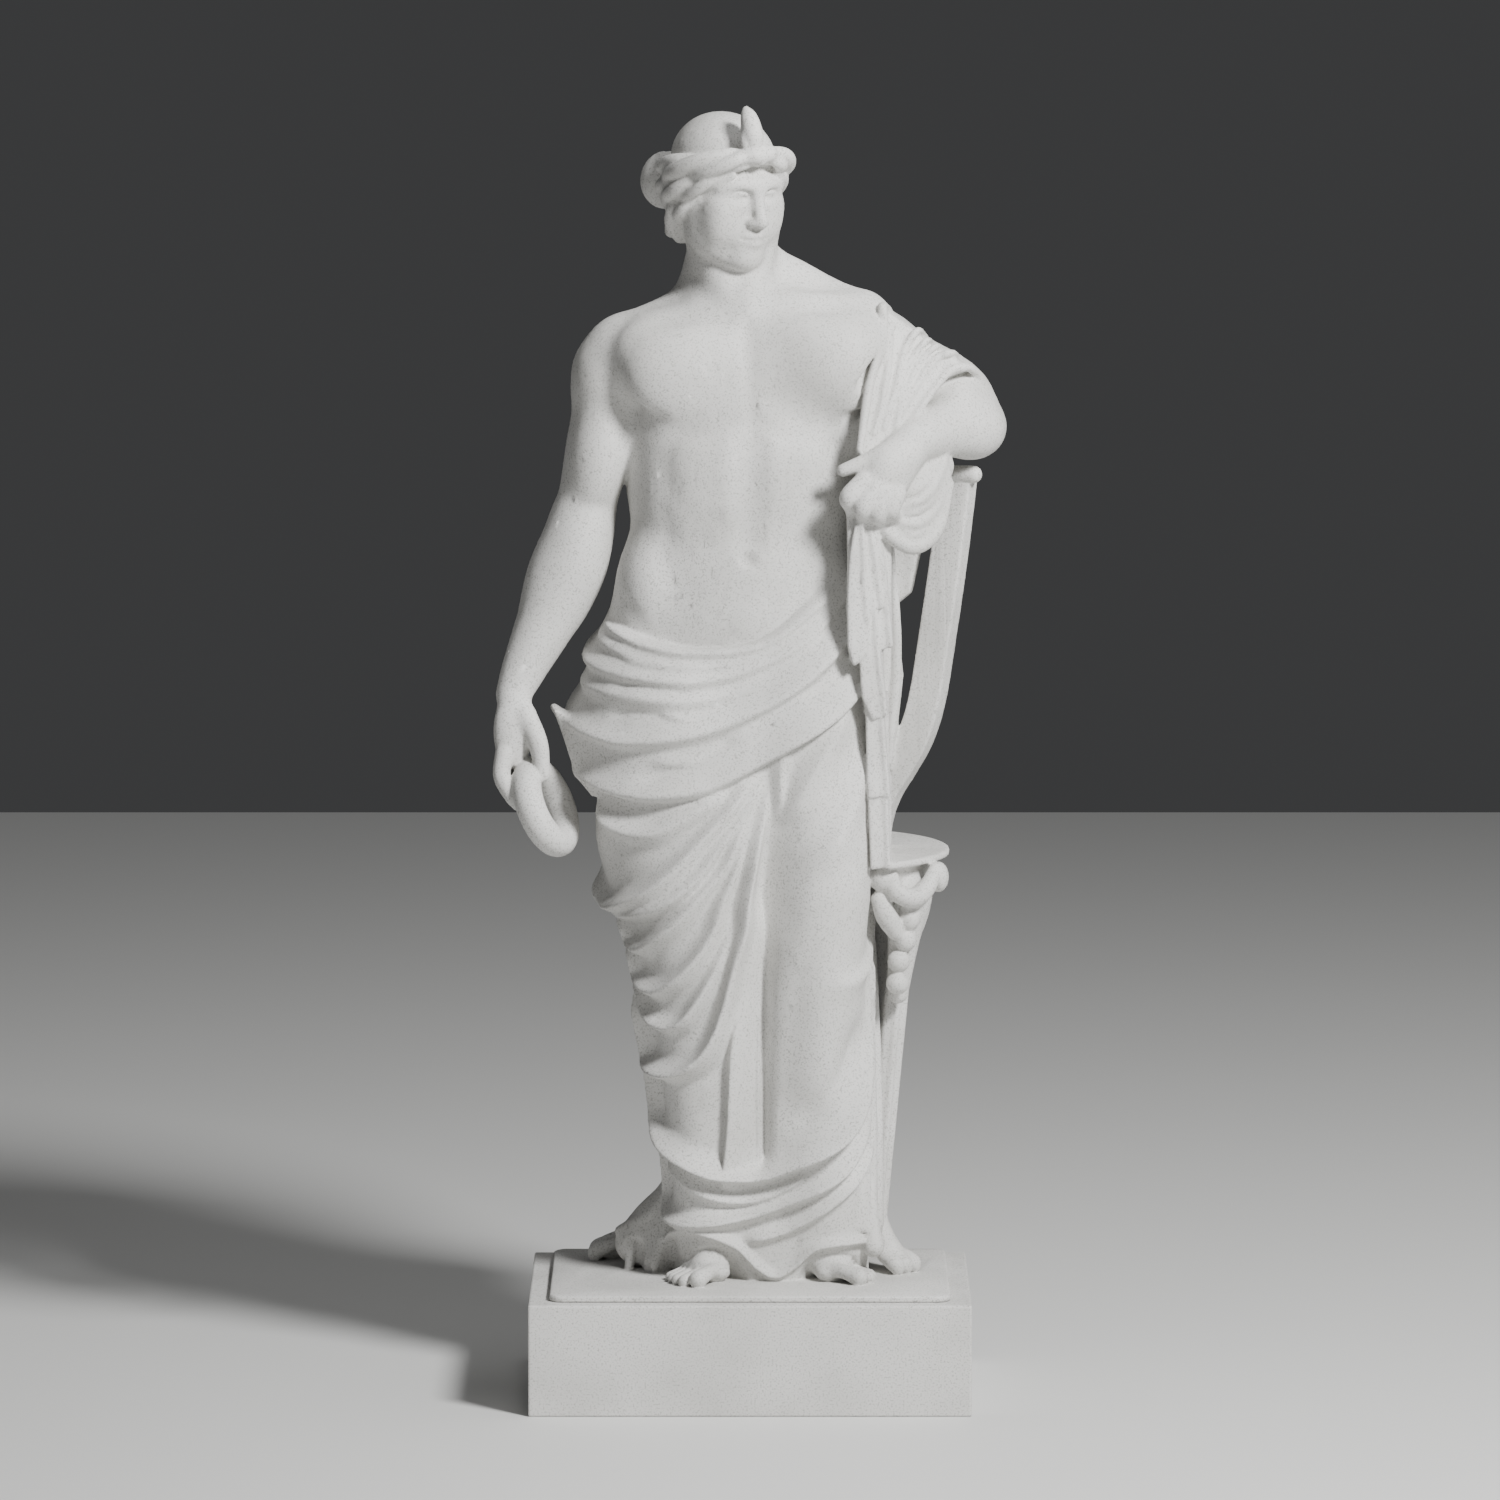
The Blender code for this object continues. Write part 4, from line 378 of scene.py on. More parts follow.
def carveTorso(stone):
    body = stone.room((-18, -11, 44), (16, 11, 92))
    body.egg((-0.2, 0.4, 74.0), (9.4, 6.0, 12.0), 1)
    body.egg((-0.6, 0.5, 64.5), (9.2, 5.3, 9.5), 2.5)
    body.egg((-0.9, 0.6, 55.0), (11.6, 6.4, 8.5), 3.0)
    body.limb([(-10.2, 1.2, 80.2), (0, 1.4, 81.5), (9.6, 1.0, 82.0)], (2.7, 3.5, 2.8), 2.5)
    body.limb([(-1.5, 1.8, 82), (-1.7, 1.0, 90)], (3.9, 3.4), 1.5)
    for side, rise in ((-1, 0), (1, 1.8)):
        body.limb([(side * 2.2 - 1.4, 2.6, 87.6), (side * 4.8 - 0.4, 2.8, 83.7 + rise),
            (side * 9, 2.0, 81.6 + 0.8 * rise)], (1.4, 1.7, 1.4), 2.0)
        body.egg((side * 8.3 - 0.3, 2.4, 72.5), (2.3, 3.4, 8.0), 2.0)
        body.egg((side * 5.8 - 0.3, -0.6, 68.5), (3.4, 3.9, 9.0), 2.0)
        body.egg((side * 4.7, -3.2, 78.0 + 0.5 * rise), (5.6, 2.7, 4.5), 1.3, turned(8, 0, side * -12))
        body.egg((side * 8.6, -2.2, 79.6 + 0.5 * rise), (3.2, 2.6, 3.2), 1.8)
        body.egg((side * 7.6 - 0.7, -0.9, 60.0), (3.0, 3.9, 4.2), 2.2)
        body.limb([(side * 0.9 - 0.6, -2.6, 82.9 + 0.3 * rise), (side * 5, -2.0, 82.9 + 0.7 * rise),
            (side * 9.2, -0.4, 81.8 + rise)], (0.4, 0.35, 0.4), 2.4)
        body.limb([(side * 3.2 - 1.6, 0.6, 90.5), (side * 0.8 - 0.8, -2.2, 84.6)], (0.8, 0.5), 1.8)
        for middle, radius, front in ((70.5, 2.3, -4.6), (66.6, 2.2, -4.3), (62.8, 2.0, -4.0)):
            body.egg((side * 2.3 - 0.2, front + 0.1, middle), (3.1, 1.15, radius), 2.2)
    body.egg((-0.4, -3.3, 58.6), (5.8, 2.5, 5.4), 2.0)
    body.egg((8.7, -2.3, 74.6), (1.9, 2.4, 3.8), 1.5)
    body.cut(limb([(-0.2, -4.9, 82.6), (-0.1, -5.85, 79.6), (0.0, -6.15, 77.0), (0.1, -6.15, 74.6)],
        (0.45, 0.5, 0.5, 0.4)), 0.9)
    body.cut(limb([(0.1, -7.3, 73.6), (0, -7.25, 68), (-0.2, -7.1, 64.4)], (1.1, 1.1, 0.9)), 1.6)
    body.cut(egg((-0.2, -6.3, 62.5), (0.5, 0.6, 0.36)), 0.7)
    for side in (-1, 1):
        body.cut(limb([(side * 9.8, -3.2, 75.4), (side * 7.4, -5.3, 73.8), (side * 4, -6.3, 73.3),
            (side * 0.8, -6.3, 74.3)], (0.25, 0.4, 0.4, 0.1)), 1.1)
        body.cut(limb([(side * 10.6 - 0.8, -3.6, 58.8), (side * 8.6 - 0.7, -5.4, 56.4),
            (side * 6 - 0.6, -6.4, 53)], (0.3, 0.35, 0.3)), 1.2)
    stone.join(body, 0.3)


def carveRightArm(stone):
    arm = stone.room((-25, -7, 38), (-8, 9, 86))
    arm.egg((-11.8, 0.9, 77.9), (3.3, 3.5, 4.7), 0.8, turned(0, 12, 0))
    arm.limb([(-12.0, 0.9, 78), (-12.8, 1.2, 72), (-14.4, 1.7, 65.0)], (2.9, 2.7, 2.5), 1.0)
    arm.egg((-12.7, -0.1, 71.6), (2.3, 2.3, 4.8), 1.2, turned(0, 10, 0))
    arm.egg((-13.0, 2.3, 71.8), (2.4, 2.2, 5.2), 1.2, turned(0, 10, 0))
    arm.limb([(-14.5, 1.6, 64.8), (-16.6, 0.9, 58.6), (-19.2, -0.7, 53.0), (-20.25, -1.5, 50.6)],
        (2.6, 2.75, 1.95, 1.5), 1.2, 36)
    arm.egg((-15.8, 0.9, 60.8), (2.9, 2.6, 5.0), 1.5, turned(0, 20, 0))
    arm.egg((-14.6, 0.2, 62.4), (2.3, 2.1, 4.0), 1.2, turned(0, 16, 0))
    arm.egg((-20.2, -2.6, 47.7), (1.75, 1.2, 3.4), 0.8, turned(-8, 4, 12))
    arm.limb([(-19.2, -2.8, 48.9), (-18.1, -3.8, 46.5), (-17.7, -4.2, 43.9)], (0.95, 0.85, 0.6), 0.5)
    arm.limb([(-21.0, -3.5, 45.6), (-21.2, -4.1, 43.8), (-20.4, -4.7, 42.2), (-19.8, -4.6, 41.4)],
        (0.8, 0.75, 0.65, 0.55), 0.35)
    for i, (away, rise) in enumerate(((-2.4, 0.0), (-1.3, 0.2), (-0.3, 0.7))):
        arm.limb([(-20.9 + 0.1 * i, away, 45.4 + rise), (-21.0 + 0.2 * i, away + 0.2, 43.2 + rise),
            (-19.8, away + 0.2, 41.5 + rise), (-18.6, away, 42.0 + rise)], (0.75, 0.7, 0.62, 0.52), 0.3)
    stone.join(arm, 1.4, 66, 74)


def carveLeftArm(stone):
    arm = stone.room((4, -12, 62), (25, 10, 88))
    arm.egg((10.1, 0.9, 79.6), (3.6, 3.5, 4.2), 0.8, turned(0, -24, 0))
    arm.limb([(10.4, 1.0, 79.6), (14.5, 2.2, 77.5), (17.7, 2.8, 75.9), (19.2, 3.2, 73.3)],
        (3.0, 3.0, 2.9, 2.5), 1.2, 32)
    arm.egg((17.7, 0.5, 75.4), (2.1, 2.5, 2.1), 1.5)
    arm.limb([(19.2, 3.0, 73.2), (18.6, 0.6, 73.4), (16.3, -1.8, 73.3), (14.2, -4.3, 72.6),
        (12.9, -5.7, 71.7)], (2.5, 2.55, 2.4, 1.95, 1.55), 1.0, 44)
    arm.egg((18.9, 1.2, 73.0), (2.7, 3.2, 2.4), 1.0, turned(0, 0, -20))
    arm.limb([(13.2, -5.9, 71.9), (11.6, -7.2, 70.6), (10.6, -7.7, 69.3)], (1.55, 1.9, 1.6), 0.8)
    arm.limb([(13.0, -5.9, 71.2), (12.2, -6.7, 69.4)], (1.5, 1.45), 0.9)
    arm.limb([(11.3, -7.0, 71.3), (9.4, -7.8, 70.9), (7.9, -8.1, 70.4)], (0.95, 0.7, 0.55), 0.5)
    for knuckle, bend, tip in (
        ((9.6, -8.7, 69.6), (8.3, -9.0, 68.2), (8.7, -7.7, 67.1)),
        ((10.6, -8.9, 68.9), (9.5, -9.2, 67.3), (9.9, -7.8, 66.4)),
        ((11.6, -8.7, 68.5), (10.8, -9.0, 66.9), (11.1, -7.7, 66.2)),
        ((12.5, -8.1, 68.4), (12.0, -8.4, 67.1), (12.2, -7.3, 66.4)),
    ):
        arm.limb([knuckle, bend, tip], (0.78, 0.74, 0.62), 0.3)
    stone.join(arm, 0.35)


def carveHead(stone):
    head = Pose((-1.9, -0.3, 93.9), (9, 0, 34))
    block = stone.room((-12, -9, 84), (7, 9, 102.5))

    def blob(centre, radii, blend, turn=(0, 0, 0)):
        block.egg(head.at(*centre), radii, blend, head.turn @ turned(*turn))

    def rod(points, radii, blend):
        block.limb([head.at(*p) for p in points], radii, blend)

    blob((0, 0.7, 1.3), (3.9, 4.9, 4.4), 0.5)
    blob((0, -1.5, -1.5), (3.45, 3.15, 4.6), 1.6)
    rod([(-3.1, 0.2, -1.6), (-2.6, -0.8, -4.1), (0, -3.5, -5.4), (2.6, -0.8, -4.1), (3.1, 0.2, -1.6)],
        (0.9, 1.1, 1.05, 1.1, 0.9), 1.4)
    blob((0, -3.85, -5.15), (1.15, 0.85, 0.85), 0.9)
    blob((0, -3.95, -3.3), (1.7, 0.85, 1.3), 1.0)
    for x in (-1, 1):
        blob((x * 2.2, -2.95, -1.0), (1.25, 1.05, 1.2), 1.1)
        blob((x * 1.9, -3.0, -2.6), (1.3, 0.9, 1.3), 1.0)
        blob((x * 2.5, -1.3, -2.2), (1.15, 2.0, 2.5), 1.6)
    rod([(-2.9, -3.3, 0.85), (-1.5, -4.2, 1.15), (0, -4.45, 1.1), (1.5, -4.2, 1.15), (2.9, -3.3, 0.85)],
        (0.4, 0.5, 0.55, 0.5, 0.4), 0.8)
    for x in (-1, 1):
        block.cut(egg(head.at(x * 1.5, -4.7, 0.15), (1.0, 0.7, 0.5), head.turn), 0.5)
        blob((x * 1.5, -3.65, 0.05), (0.85, 0.65, 0.52), 0.12)
        rod([(x * 0.65, -4.1, 0.0), (x * 1.1, -4.33, 0.36), (x * 1.7, -4.27, 0.38), (x * 2.4, -3.75, 0.02)],
            (0.1, 0.15, 0.15, 0.12), 0.15)
        rod([(x * 0.65, -4.1, -0.05), (x * 1.2, -4.25, -0.36), (x * 1.8, -4.15, -0.34),
            (x * 2.35, -3.75, 0.0)], (0.08, 0.11, 0.11, 0.1), 0.15)
    rod([(0, -4.35, 1.2), (0, -4.85, -0.4), (0, -5.45, -1.8)], (0.5, 0.48, 0.56), 0.6)
    blob((0, -5.3, -1.95), (0.55, 0.62, 0.42), 0.4)
    for x in (-1, 1):
        blob((x * 0.62, -4.85, -2.05), (0.42, 0.6, 0.36), 0.3)
        block.cut(egg(head.at(x * 0.36, -5.2, -2.45), (0.18, 0.28, 0.16), head.turn), 0.15)
    rod([(-1.15, -4.3, -3.42), (-0.4, -4.85, -3.2), (0, -4.85, -3.3), (0.4, -4.85, -3.2),
        (1.15, -4.3, -3.42)], (0.16, 0.26, 0.24, 0.26, 0.16), 0.25)
    rod([(-1.0, -4.3, -3.6), (-0.35, -4.75, -3.88), (0.35, -4.75, -3.88), (1.0, -4.3, -3.6)],
        (0.16, 0.3, 0.3, 0.16), 0.25)
    block.cut(limb([head.at(*p) for p in ((-1.25, -4.6, -3.5), (0, -5.25, -3.56), (1.25, -4.6, -3.5))],
        (0.08, 0.11, 0.08)), 0.12)

    # The hair: a smooth cap, thick twisted rolls swept back from the brow, a topknot and a bun
    def tress(points, radii, turns):
        for strand in strands([head.at(*p) for p in points], radii, turns):
            block.add(strand, 0.18)

    blob((0, 1.0, 2.1), (4.2, 5.1, 4.15), 0.15)
    for side, wide in ((-1, 1), (1, 0.9)):
        flank = side * wide
        tress([(side * 0.4 - 0.4, -4.5, 3.6), (flank * 2.4, -4.15, 3.3), (flank * 4.1, -2.2, 2.5),
            (flank * 4.7, 0.6, 1.6), (flank * 3.9, 3.4, 1.0)], (0.65, 1.05, 1.2, 1.3, 1.2), side * 0.8)
        tress([(flank * 2.3, -3.9, 2.1), (flank * 3.9, -2.2, 1.0), (flank * 4.7, 0.4, -0.2),
            (flank * 3.9, 3.2, -0.6)], (0.5, 0.95, 1.1, 1.15), side * 0.8)
        tress([(flank * 3.7, -1.7, -0.5), (flank * 4.2, -0.2, -1.5), (flank * 3.9, 1.4, -2.2),
            (flank * 2.8, 2.8, -2.8)], (0.45, 0.85, 1.0, 1.0), side * 0.7)
        block.egg(head.at(side * 2.2, 3.0, -0.6), (2.4, 2.4, 2.8), 0.4, head.turn)
    blob((0, 4.3, -2.9), (2.7, 1.7, 2.4), 0.4)
    for side, low in ((-1, -4.6), (1, -4.4)):
        tress([(side * 3.3, 1.4, -1.8), (side * 3.1, 2.6, -3.0), (side * 2.1, 3.8, low)], (0.8, 1.15, 1.1),
            side * 0.5)
    blob((-1.9, 6.6, -0.7), (2.25, 2.1, 2.5), 0.25)
    for shift in (-1.1, 0, 1.1):
        block.cut(limb([head.at(-1.9 + shift * 1.5, 5.2, 2.2), head.at(-1.9 + shift, 8.6, 1.2),
            head.at(-1.9 + shift, 9.0, -1.4), head.at(-1.9 + shift * 1.5, 6.6, -3.2)],
            (0.12, 0.16, 0.16, 0.12)), 0.25)
    rod([(-0.8, -4.6, 4.0), (-1.0, -4.6, 5.4), (-1.0, -3.8, 6.7), (-1.0, -3.2, 7.4)],
        (0.6, 0.85, 0.75, 0.35), 0.2)
    for shift in (-0.8, 0.8):
        rod([(-0.8 + 0.2 * shift, -4.8, 3.7), (-1.0 + 0.8 * shift, -4.4, 5.0),
            (-1.0 + 0.3 * shift, -3.4, 6.7)], (0.3, 0.42, 0.25), 0.15)
    rod([(-1.9, -4.4, 3.6), (-1.0, -5.1, 3.9), (-0.5, -5.2, 3.5)], (0.7, 0.75, 0.5), 0.2)
    rod([(1.1, -4.5, 3.7), (0.2, -5.1, 4.0), (-0.5, -5.2, 3.6)], (0.7, 0.75, 0.5), 0.2)
    rod([(-0.6, -4.9, 3.2), (-0.55, -5.3, 3.7), (-0.7, -4.9, 4.3)], (0.4, 0.45, 0.35), 0.15)
    stone.join(block, 0.5)


# The cloth

hemPower = 2.5                  # how square the drape's outline is from above; 2 is an ellipse
# Rows of a height, and the drape's left, right, front and back there
drapeSizes = (
    (88, (-6.0, 11.6, -2.0, 4.5)),
    (80, (-10.6, 11.8, -4.0, 6.6)),
    (72, (-9.4, 11.0, -5.6, 7.3)),
    (64, (-9.5, 10.2, -6.0, 6.9)),
    (57, (-12.3, 10.0, -6.6, 8.0)),
    (50, (-14.5, 10.2, -7.1, 8.6)),
    (43, (-13.2, 10.1, -7.2, 7.8)),
    (38, (-13.2, 9.8, -7.2, 7.2)),
    (34, (-12.0, 9.4, -7.0, 6.6)),
    (31, (-10.0, 9.4, -6.9, 6.4)),
    (28, (-8.9, 9.4, -6.7, 6.2)),
    (24, (-7.9, 9.6, -6.4, 6.0)),
    (16, (-6.2, 9.6, -5.5, 6.2)),
    (8, (-5.7, 9.9, -4.8, 6.6)),
    (0, (-6.4, 10.3, -4.6, 7.0)),
)


# The drape's left, right, front and back at a height
def girth(z):
    heights = np.array([row[0] for row in drapeSizes], float)[::-1]
    sides = np.array([row[1] for row in drapeSizes], float)[::-1]
    fine = smoothPath(np.column_stack([heights, sides]), 200)
    return [np.interp(z, fine[:, 0], fine[:, i]) for i in (1, 2, 3, 4)]


# Where a place seen from the front lies on the map that goes round the drape
def roundAt(x, z):
    left, right, _, _ = girth(z)
    share = np.clip((x - (left + right) / 2) / ((right - left) / 2), -0.995, 0.995)
    return mapRadius * math.atan2(share, (1 - abs(share) ** hemPower) ** (1 / hemPower))


# Places in the front view, as places on the map
def seen(*places):
    return [(roundAt(x, z), z) for x, z in places]


# Places given as degrees round from the front and a height
def about(*places):
    return [(mapRadius * math.radians(turn), z) for turn, z in places]


drapeRim = about((-180, 72), (-150, 65), (-120, 59.5), (-95, 57.4)) + seen((-11.2, 56.4), (-8.6, 55.5),
    (-4.3, 55.0), (0.9, 55.8), (5.1, 58.8), (8.6, 62.6)) + about((76, 70), (92, 77), (112, 81.5), (135, 81),
    (158, 77), (180, 72))


def drawDrapeFolds():
    cloth = Folds((-mapRadius * math.pi, 0), (mapRadius * math.pi, 90), carving["foldMapStep"])
    # The rolls round the waist, from the far hip to the hand
    cloth.ridge(about((-150, 65.2), (-118, 59.2)) + seen((-11.6, 56.6), (-8.6, 55.3), (-4.3, 54.6),
        (0.9, 55.3), (5.1, 58.2), (8.8, 62.2)), 1.2, 0.5, 0.8)
    cloth.ridge(about((-112, 57.0)) + seen((-11.2, 54.8), (-8.6, 53.8), (-2.6, 53.5), (3.4, 55.5),
        (7.3, 59.4), (9.6, 63.2)), 1.4, 0.4, 0.8)
    cloth.ridge(about((-125, 57.5), (-100, 54.6)) + seen((-11.2, 52.9), (-6.0, 52.2), (-0.9, 53.0),
        (4.3, 55.8), (8.2, 60.2), (9.8, 63.5)), 1.8, 0.6, 0.6)
    cloth.ridge(about((-110, 52.4)) + seen((-9.4, 50.9), (-4.3, 50.6), (1.7, 52.4), (6.9, 57.0)), 1.6, 0.4,
        0.8)
    cloth.ridge(seen((-8.0, 49.6), (-3.6, 48.9), (0.6, 50.4), (4.6, 53.2)), 1.1, 0.35, 0.7)
    cloth.valley(seen((-11.6, 51.6), (-8.4, 51.9), (-4.2, 51.2)), 1.1, 0.3, 1.0, (0.3, 0.5))
    cloth.valley(seen((-12.0, 49.0), (-9.2, 49.5), (-4.6, 48.8)), 1.1, 0.3, 1.0, (0.3, 0.5))
    # The overfold: a rolled upper edge and a free lower hem
    upper = about((-128, 53), (-100, 49.5)) + seen((-12.4, 47.4), (-9.4, 47.0), (-4.3, 47.8), (0.9, 50.2),
        (5.1, 54.0), (8.6, 58.8), (9.7, 62.0))
    lower = about((-160, 54), (-125, 47.6), (-100, 44.3)) + seen((-12.6, 42.9), (-9.4, 42.0), (-6.0, 42.0),
        (-2.6, 43.0), (1.7, 45.7), (6.0, 49.4), (8.2, 52.4), (9.7, 56.5))
    cloth.ridge(upper, 2.4, 0.95, 0.35, (0.2, 0.1))
    cloth.overlap(lower, 0.55)
    cloth.ridge([(s, z + 0.5) for s, z in lower], 2.4, 0.7, 0.22, (0.1, 0.1))
    cloth.valley(seen((-9.4, 43.6), (-4.3, 45.6), (-0.9, 47.7)), 1.1, 0.35)
    cloth.ridge(seen((-8.2, 45.2), (-3.4, 45.6), (1.0, 48.4), (5.0, 52.0)), 1.2, 0.3, 0.7)
    # Swags that hang from the far hip and gather above the knee
    cloth.ridge(seen((-13.0, 42.5), (-12.2, 40.6), (-10.4, 39.3), (-7.6, 39.2), (-4.3, 41.0), (-0.9, 44.0)),
        2.2, 0.95, 0.6, (0.3, 0.15))
    cloth.ridge(about((-120, 35.5)) + seen((-11.4, 32.3), (-9.0, 33.3), (-6.0, 35.8), (-2.6, 40.1),
        (1.3, 45.7)), 1.7, 1.1, 0.6)
    hem = about((-135, 36), (-100, 32.5)) + seen((-11.4, 31.3), (-7.7, 31.9), (-4.3, 34.6), (-0.9, 40.1),
        (1.5, 44.8))
    cloth.overlap(hem, 0.45, fall=3.5, ends=4.0)
    cloth.ridge([(s, z + 0.3) for s, z in hem], 1.6, 0.8, 0.35, (0.55, 0.15))
    cloth.ridge(about((-125, 33.5)) + seen((-10.6, 30.6), (-9.6, 29.2), (-8.0, 28.9), (-5.1, 31.8),
        (-2.3, 35.9), (-0.6, 40.1), (1.2, 46.0)), 1.7, 1.15, 0.5, (0.15, 0.2))
    cloth.ridge(about((-120, 31.0)) + seen((-9.6, 28.0), (-8.6, 26.2), (-6.6, 25.3), (-4.0, 27.9),
        (-1.9, 34.0), (-0.3, 39.4), (1.4, 46.2)), 1.7, 1.2, 0.5, (0.15, 0.25))
    cloth.ridge(about((-115, 28.0)) + seen((-8.9, 25.0), (-7.2, 22.9), (-5.1, 22.3), (-3.4, 24.8),
        (-1.6, 30.5), (0.0, 37.0)), 1.6, 1.2, 0.5, (0.15, 0.35))
    cloth.ridge(about((-110, 30.0)) + seen((-9.0, 24.0), (-8.4, 20.6), (-7.2, 18.8), (-5.3, 18.0),
        (-3.5, 18.8), (-2.1, 21.6), (-1.0, 27.6), (-0.1, 34.7), (1.4, 45.0)), 1.8, 1.7, 0.4, (0.15, 0.1))
    # The hollow between the legs, and the upright folds in it
    cloth.valley(seen((2.2, 41), (1.6, 33.8), (1.2, 25.1), (1.0, 16.5), (0.8, 8.6)), 1.8, 1.5, 1.0,
        (0.3, 0.1))
    cloth.ridge(seen((1.9, 36.0), (1.0, 26), (0.6, 17), (0.5, 8.2)), 0.9, 0.5, 0.4, (0.5, 0.05))
    cloth.ridge(seen((2.6, 33.0), (2.1, 26), (2.0, 18)), 2.0, 0.6, 0.25, (0.3, 0.5))
    cloth.ridge(seen((-0.6, 26.0), (-1.2, 19.0), (-1.5, 8.0)), 2.0, 0.9, 0.4, (0.5, 0.03))
    # Pulls across the forward thigh
    cloth.ridge(seen((7.4, 51.4), (5.55, 47.6), (3.6, 43.6), (2.1, 39.6)), 2.0, 0.6, 0.35, (0.3, 0.2))
    cloth.ridge(seen((8.4, 48.5), (7.3, 43.6), (5.55, 39.8), (3.4, 35.5)), 2.4, 0.65, 0.35, (0.3, 0.25))
    cloth.ridge(seen((2.8, 48.0), (2.1, 44.6), (1.9, 39.5)), 0.9, 0.5, 0.8, (0.1, 0.3))
    cloth.ridge(seen((9.9, 42.0), (9.9, 34.5), (9.2, 29.5), (7.8, 27.0), (6.0, 26.2), (4.4, 26.8)), 1.8,
        0.6, 0.7, (0.2, 0.45))
    cloth.valley(seen((8.4, 24.2), (6.6, 17.8), (3.2, 11.9)), 3.0, 0.8, 1.0, (0.3, 0.3))
    # The wide swags below the knees
    cloth.ridge(seen((-8.3, 22.0), (-7.3, 17.0), (-5.8, 13.4), (-3.4, 10.3), (-0.9, 9.1), (2.6, 9.7),
        (6.9, 13.3), (8.9, 19.5), (9.2, 26.5), (9.3, 33.9)), 1.8, 1.6, 0.35, (0.1, 0.4))
    cloth.ridge(seen((-5.4, 11.0), (-3.9, 8.7), (-1.3, 7.1), (1.9, 7.6), (5.0, 9.8)), 1.2, 0.7, 0.6)
    cloth.ridge(seen((-7.9, 16.0), (-7.2, 11.0), (-6.2, 6.6), (-4.3, 4.9), (0.9, 6.0), (6.0, 9.0),
        (8.9, 14.8), (9.4, 21.7), (9.5, 29.5)), 1.5, 1.1, 0.5, (0.1, 0.4))
    cloth.ridge(seen((-0.9, 3.4), (3.4, 4.7), (7.3, 8.3), (10.0, 13.5)), 1.2, 0.8, 0.6)
    cloth.ridge(seen((-7.0, 0.8), (-6.4, 2.8), (-5.0, 4.1), (-3.0, 4.3), (-1.0, 3.2), (0.6, 1.4),
        (2.1, 0.5), (3.7, 1.4), (5.2, 3.0), (7.6, 3.4), (10.0, 3.3)), 0.9, 0.7, 0.5, (0.05, 0.05))
    for places, height in (
        (about((84, 36), (86, 30), (88, 20), (86, 2.5)), 0.95),
        (about((70, 30), (75, 24), (75, 14), (74, 3.0)), 0.85),
        (about((60, 24), (63, 16), (58, 9), (50, 4.0)), 0.6),
        (about((98, 31), (100, 15), (100, 2.5)), 0.9),
    ):
        cloth.ridge(places, 1.0, height, 1.0, (0.2, 0.02))
    # The back: slanting folds up to the shoulder, then upright ones down to the ground
    cloth.family(about((-112, 55), (-150, 58), (-185, 64), (-225, 74)), about((-105, 36), (-145, 38),
        (-190, 46), (-235, 60)), 4, 2.0, 0.9, 0.6, (0.2, 0.1))
    cloth.family(about((180, 68), (150, 73), (125, 80)), about((180, 46), (150, 56), (112, 70)), 5, 1.8,
        0.9, 0.6)
    cloth.family(about((-175, 44), (-170, 24), (-175, 4)), about((-100, 30), (-104, 16), (-108, 4)), 5, 1.6,
        1.0, 0.9, (0.3, 0.02))
    cloth.family(about((178, 42), (175, 24), (178, 4)), about((100, 50), (98, 26), (100, 4)), 6, 1.6, 1.0,
        0.9, (0.3, 0.02))
    return cloth


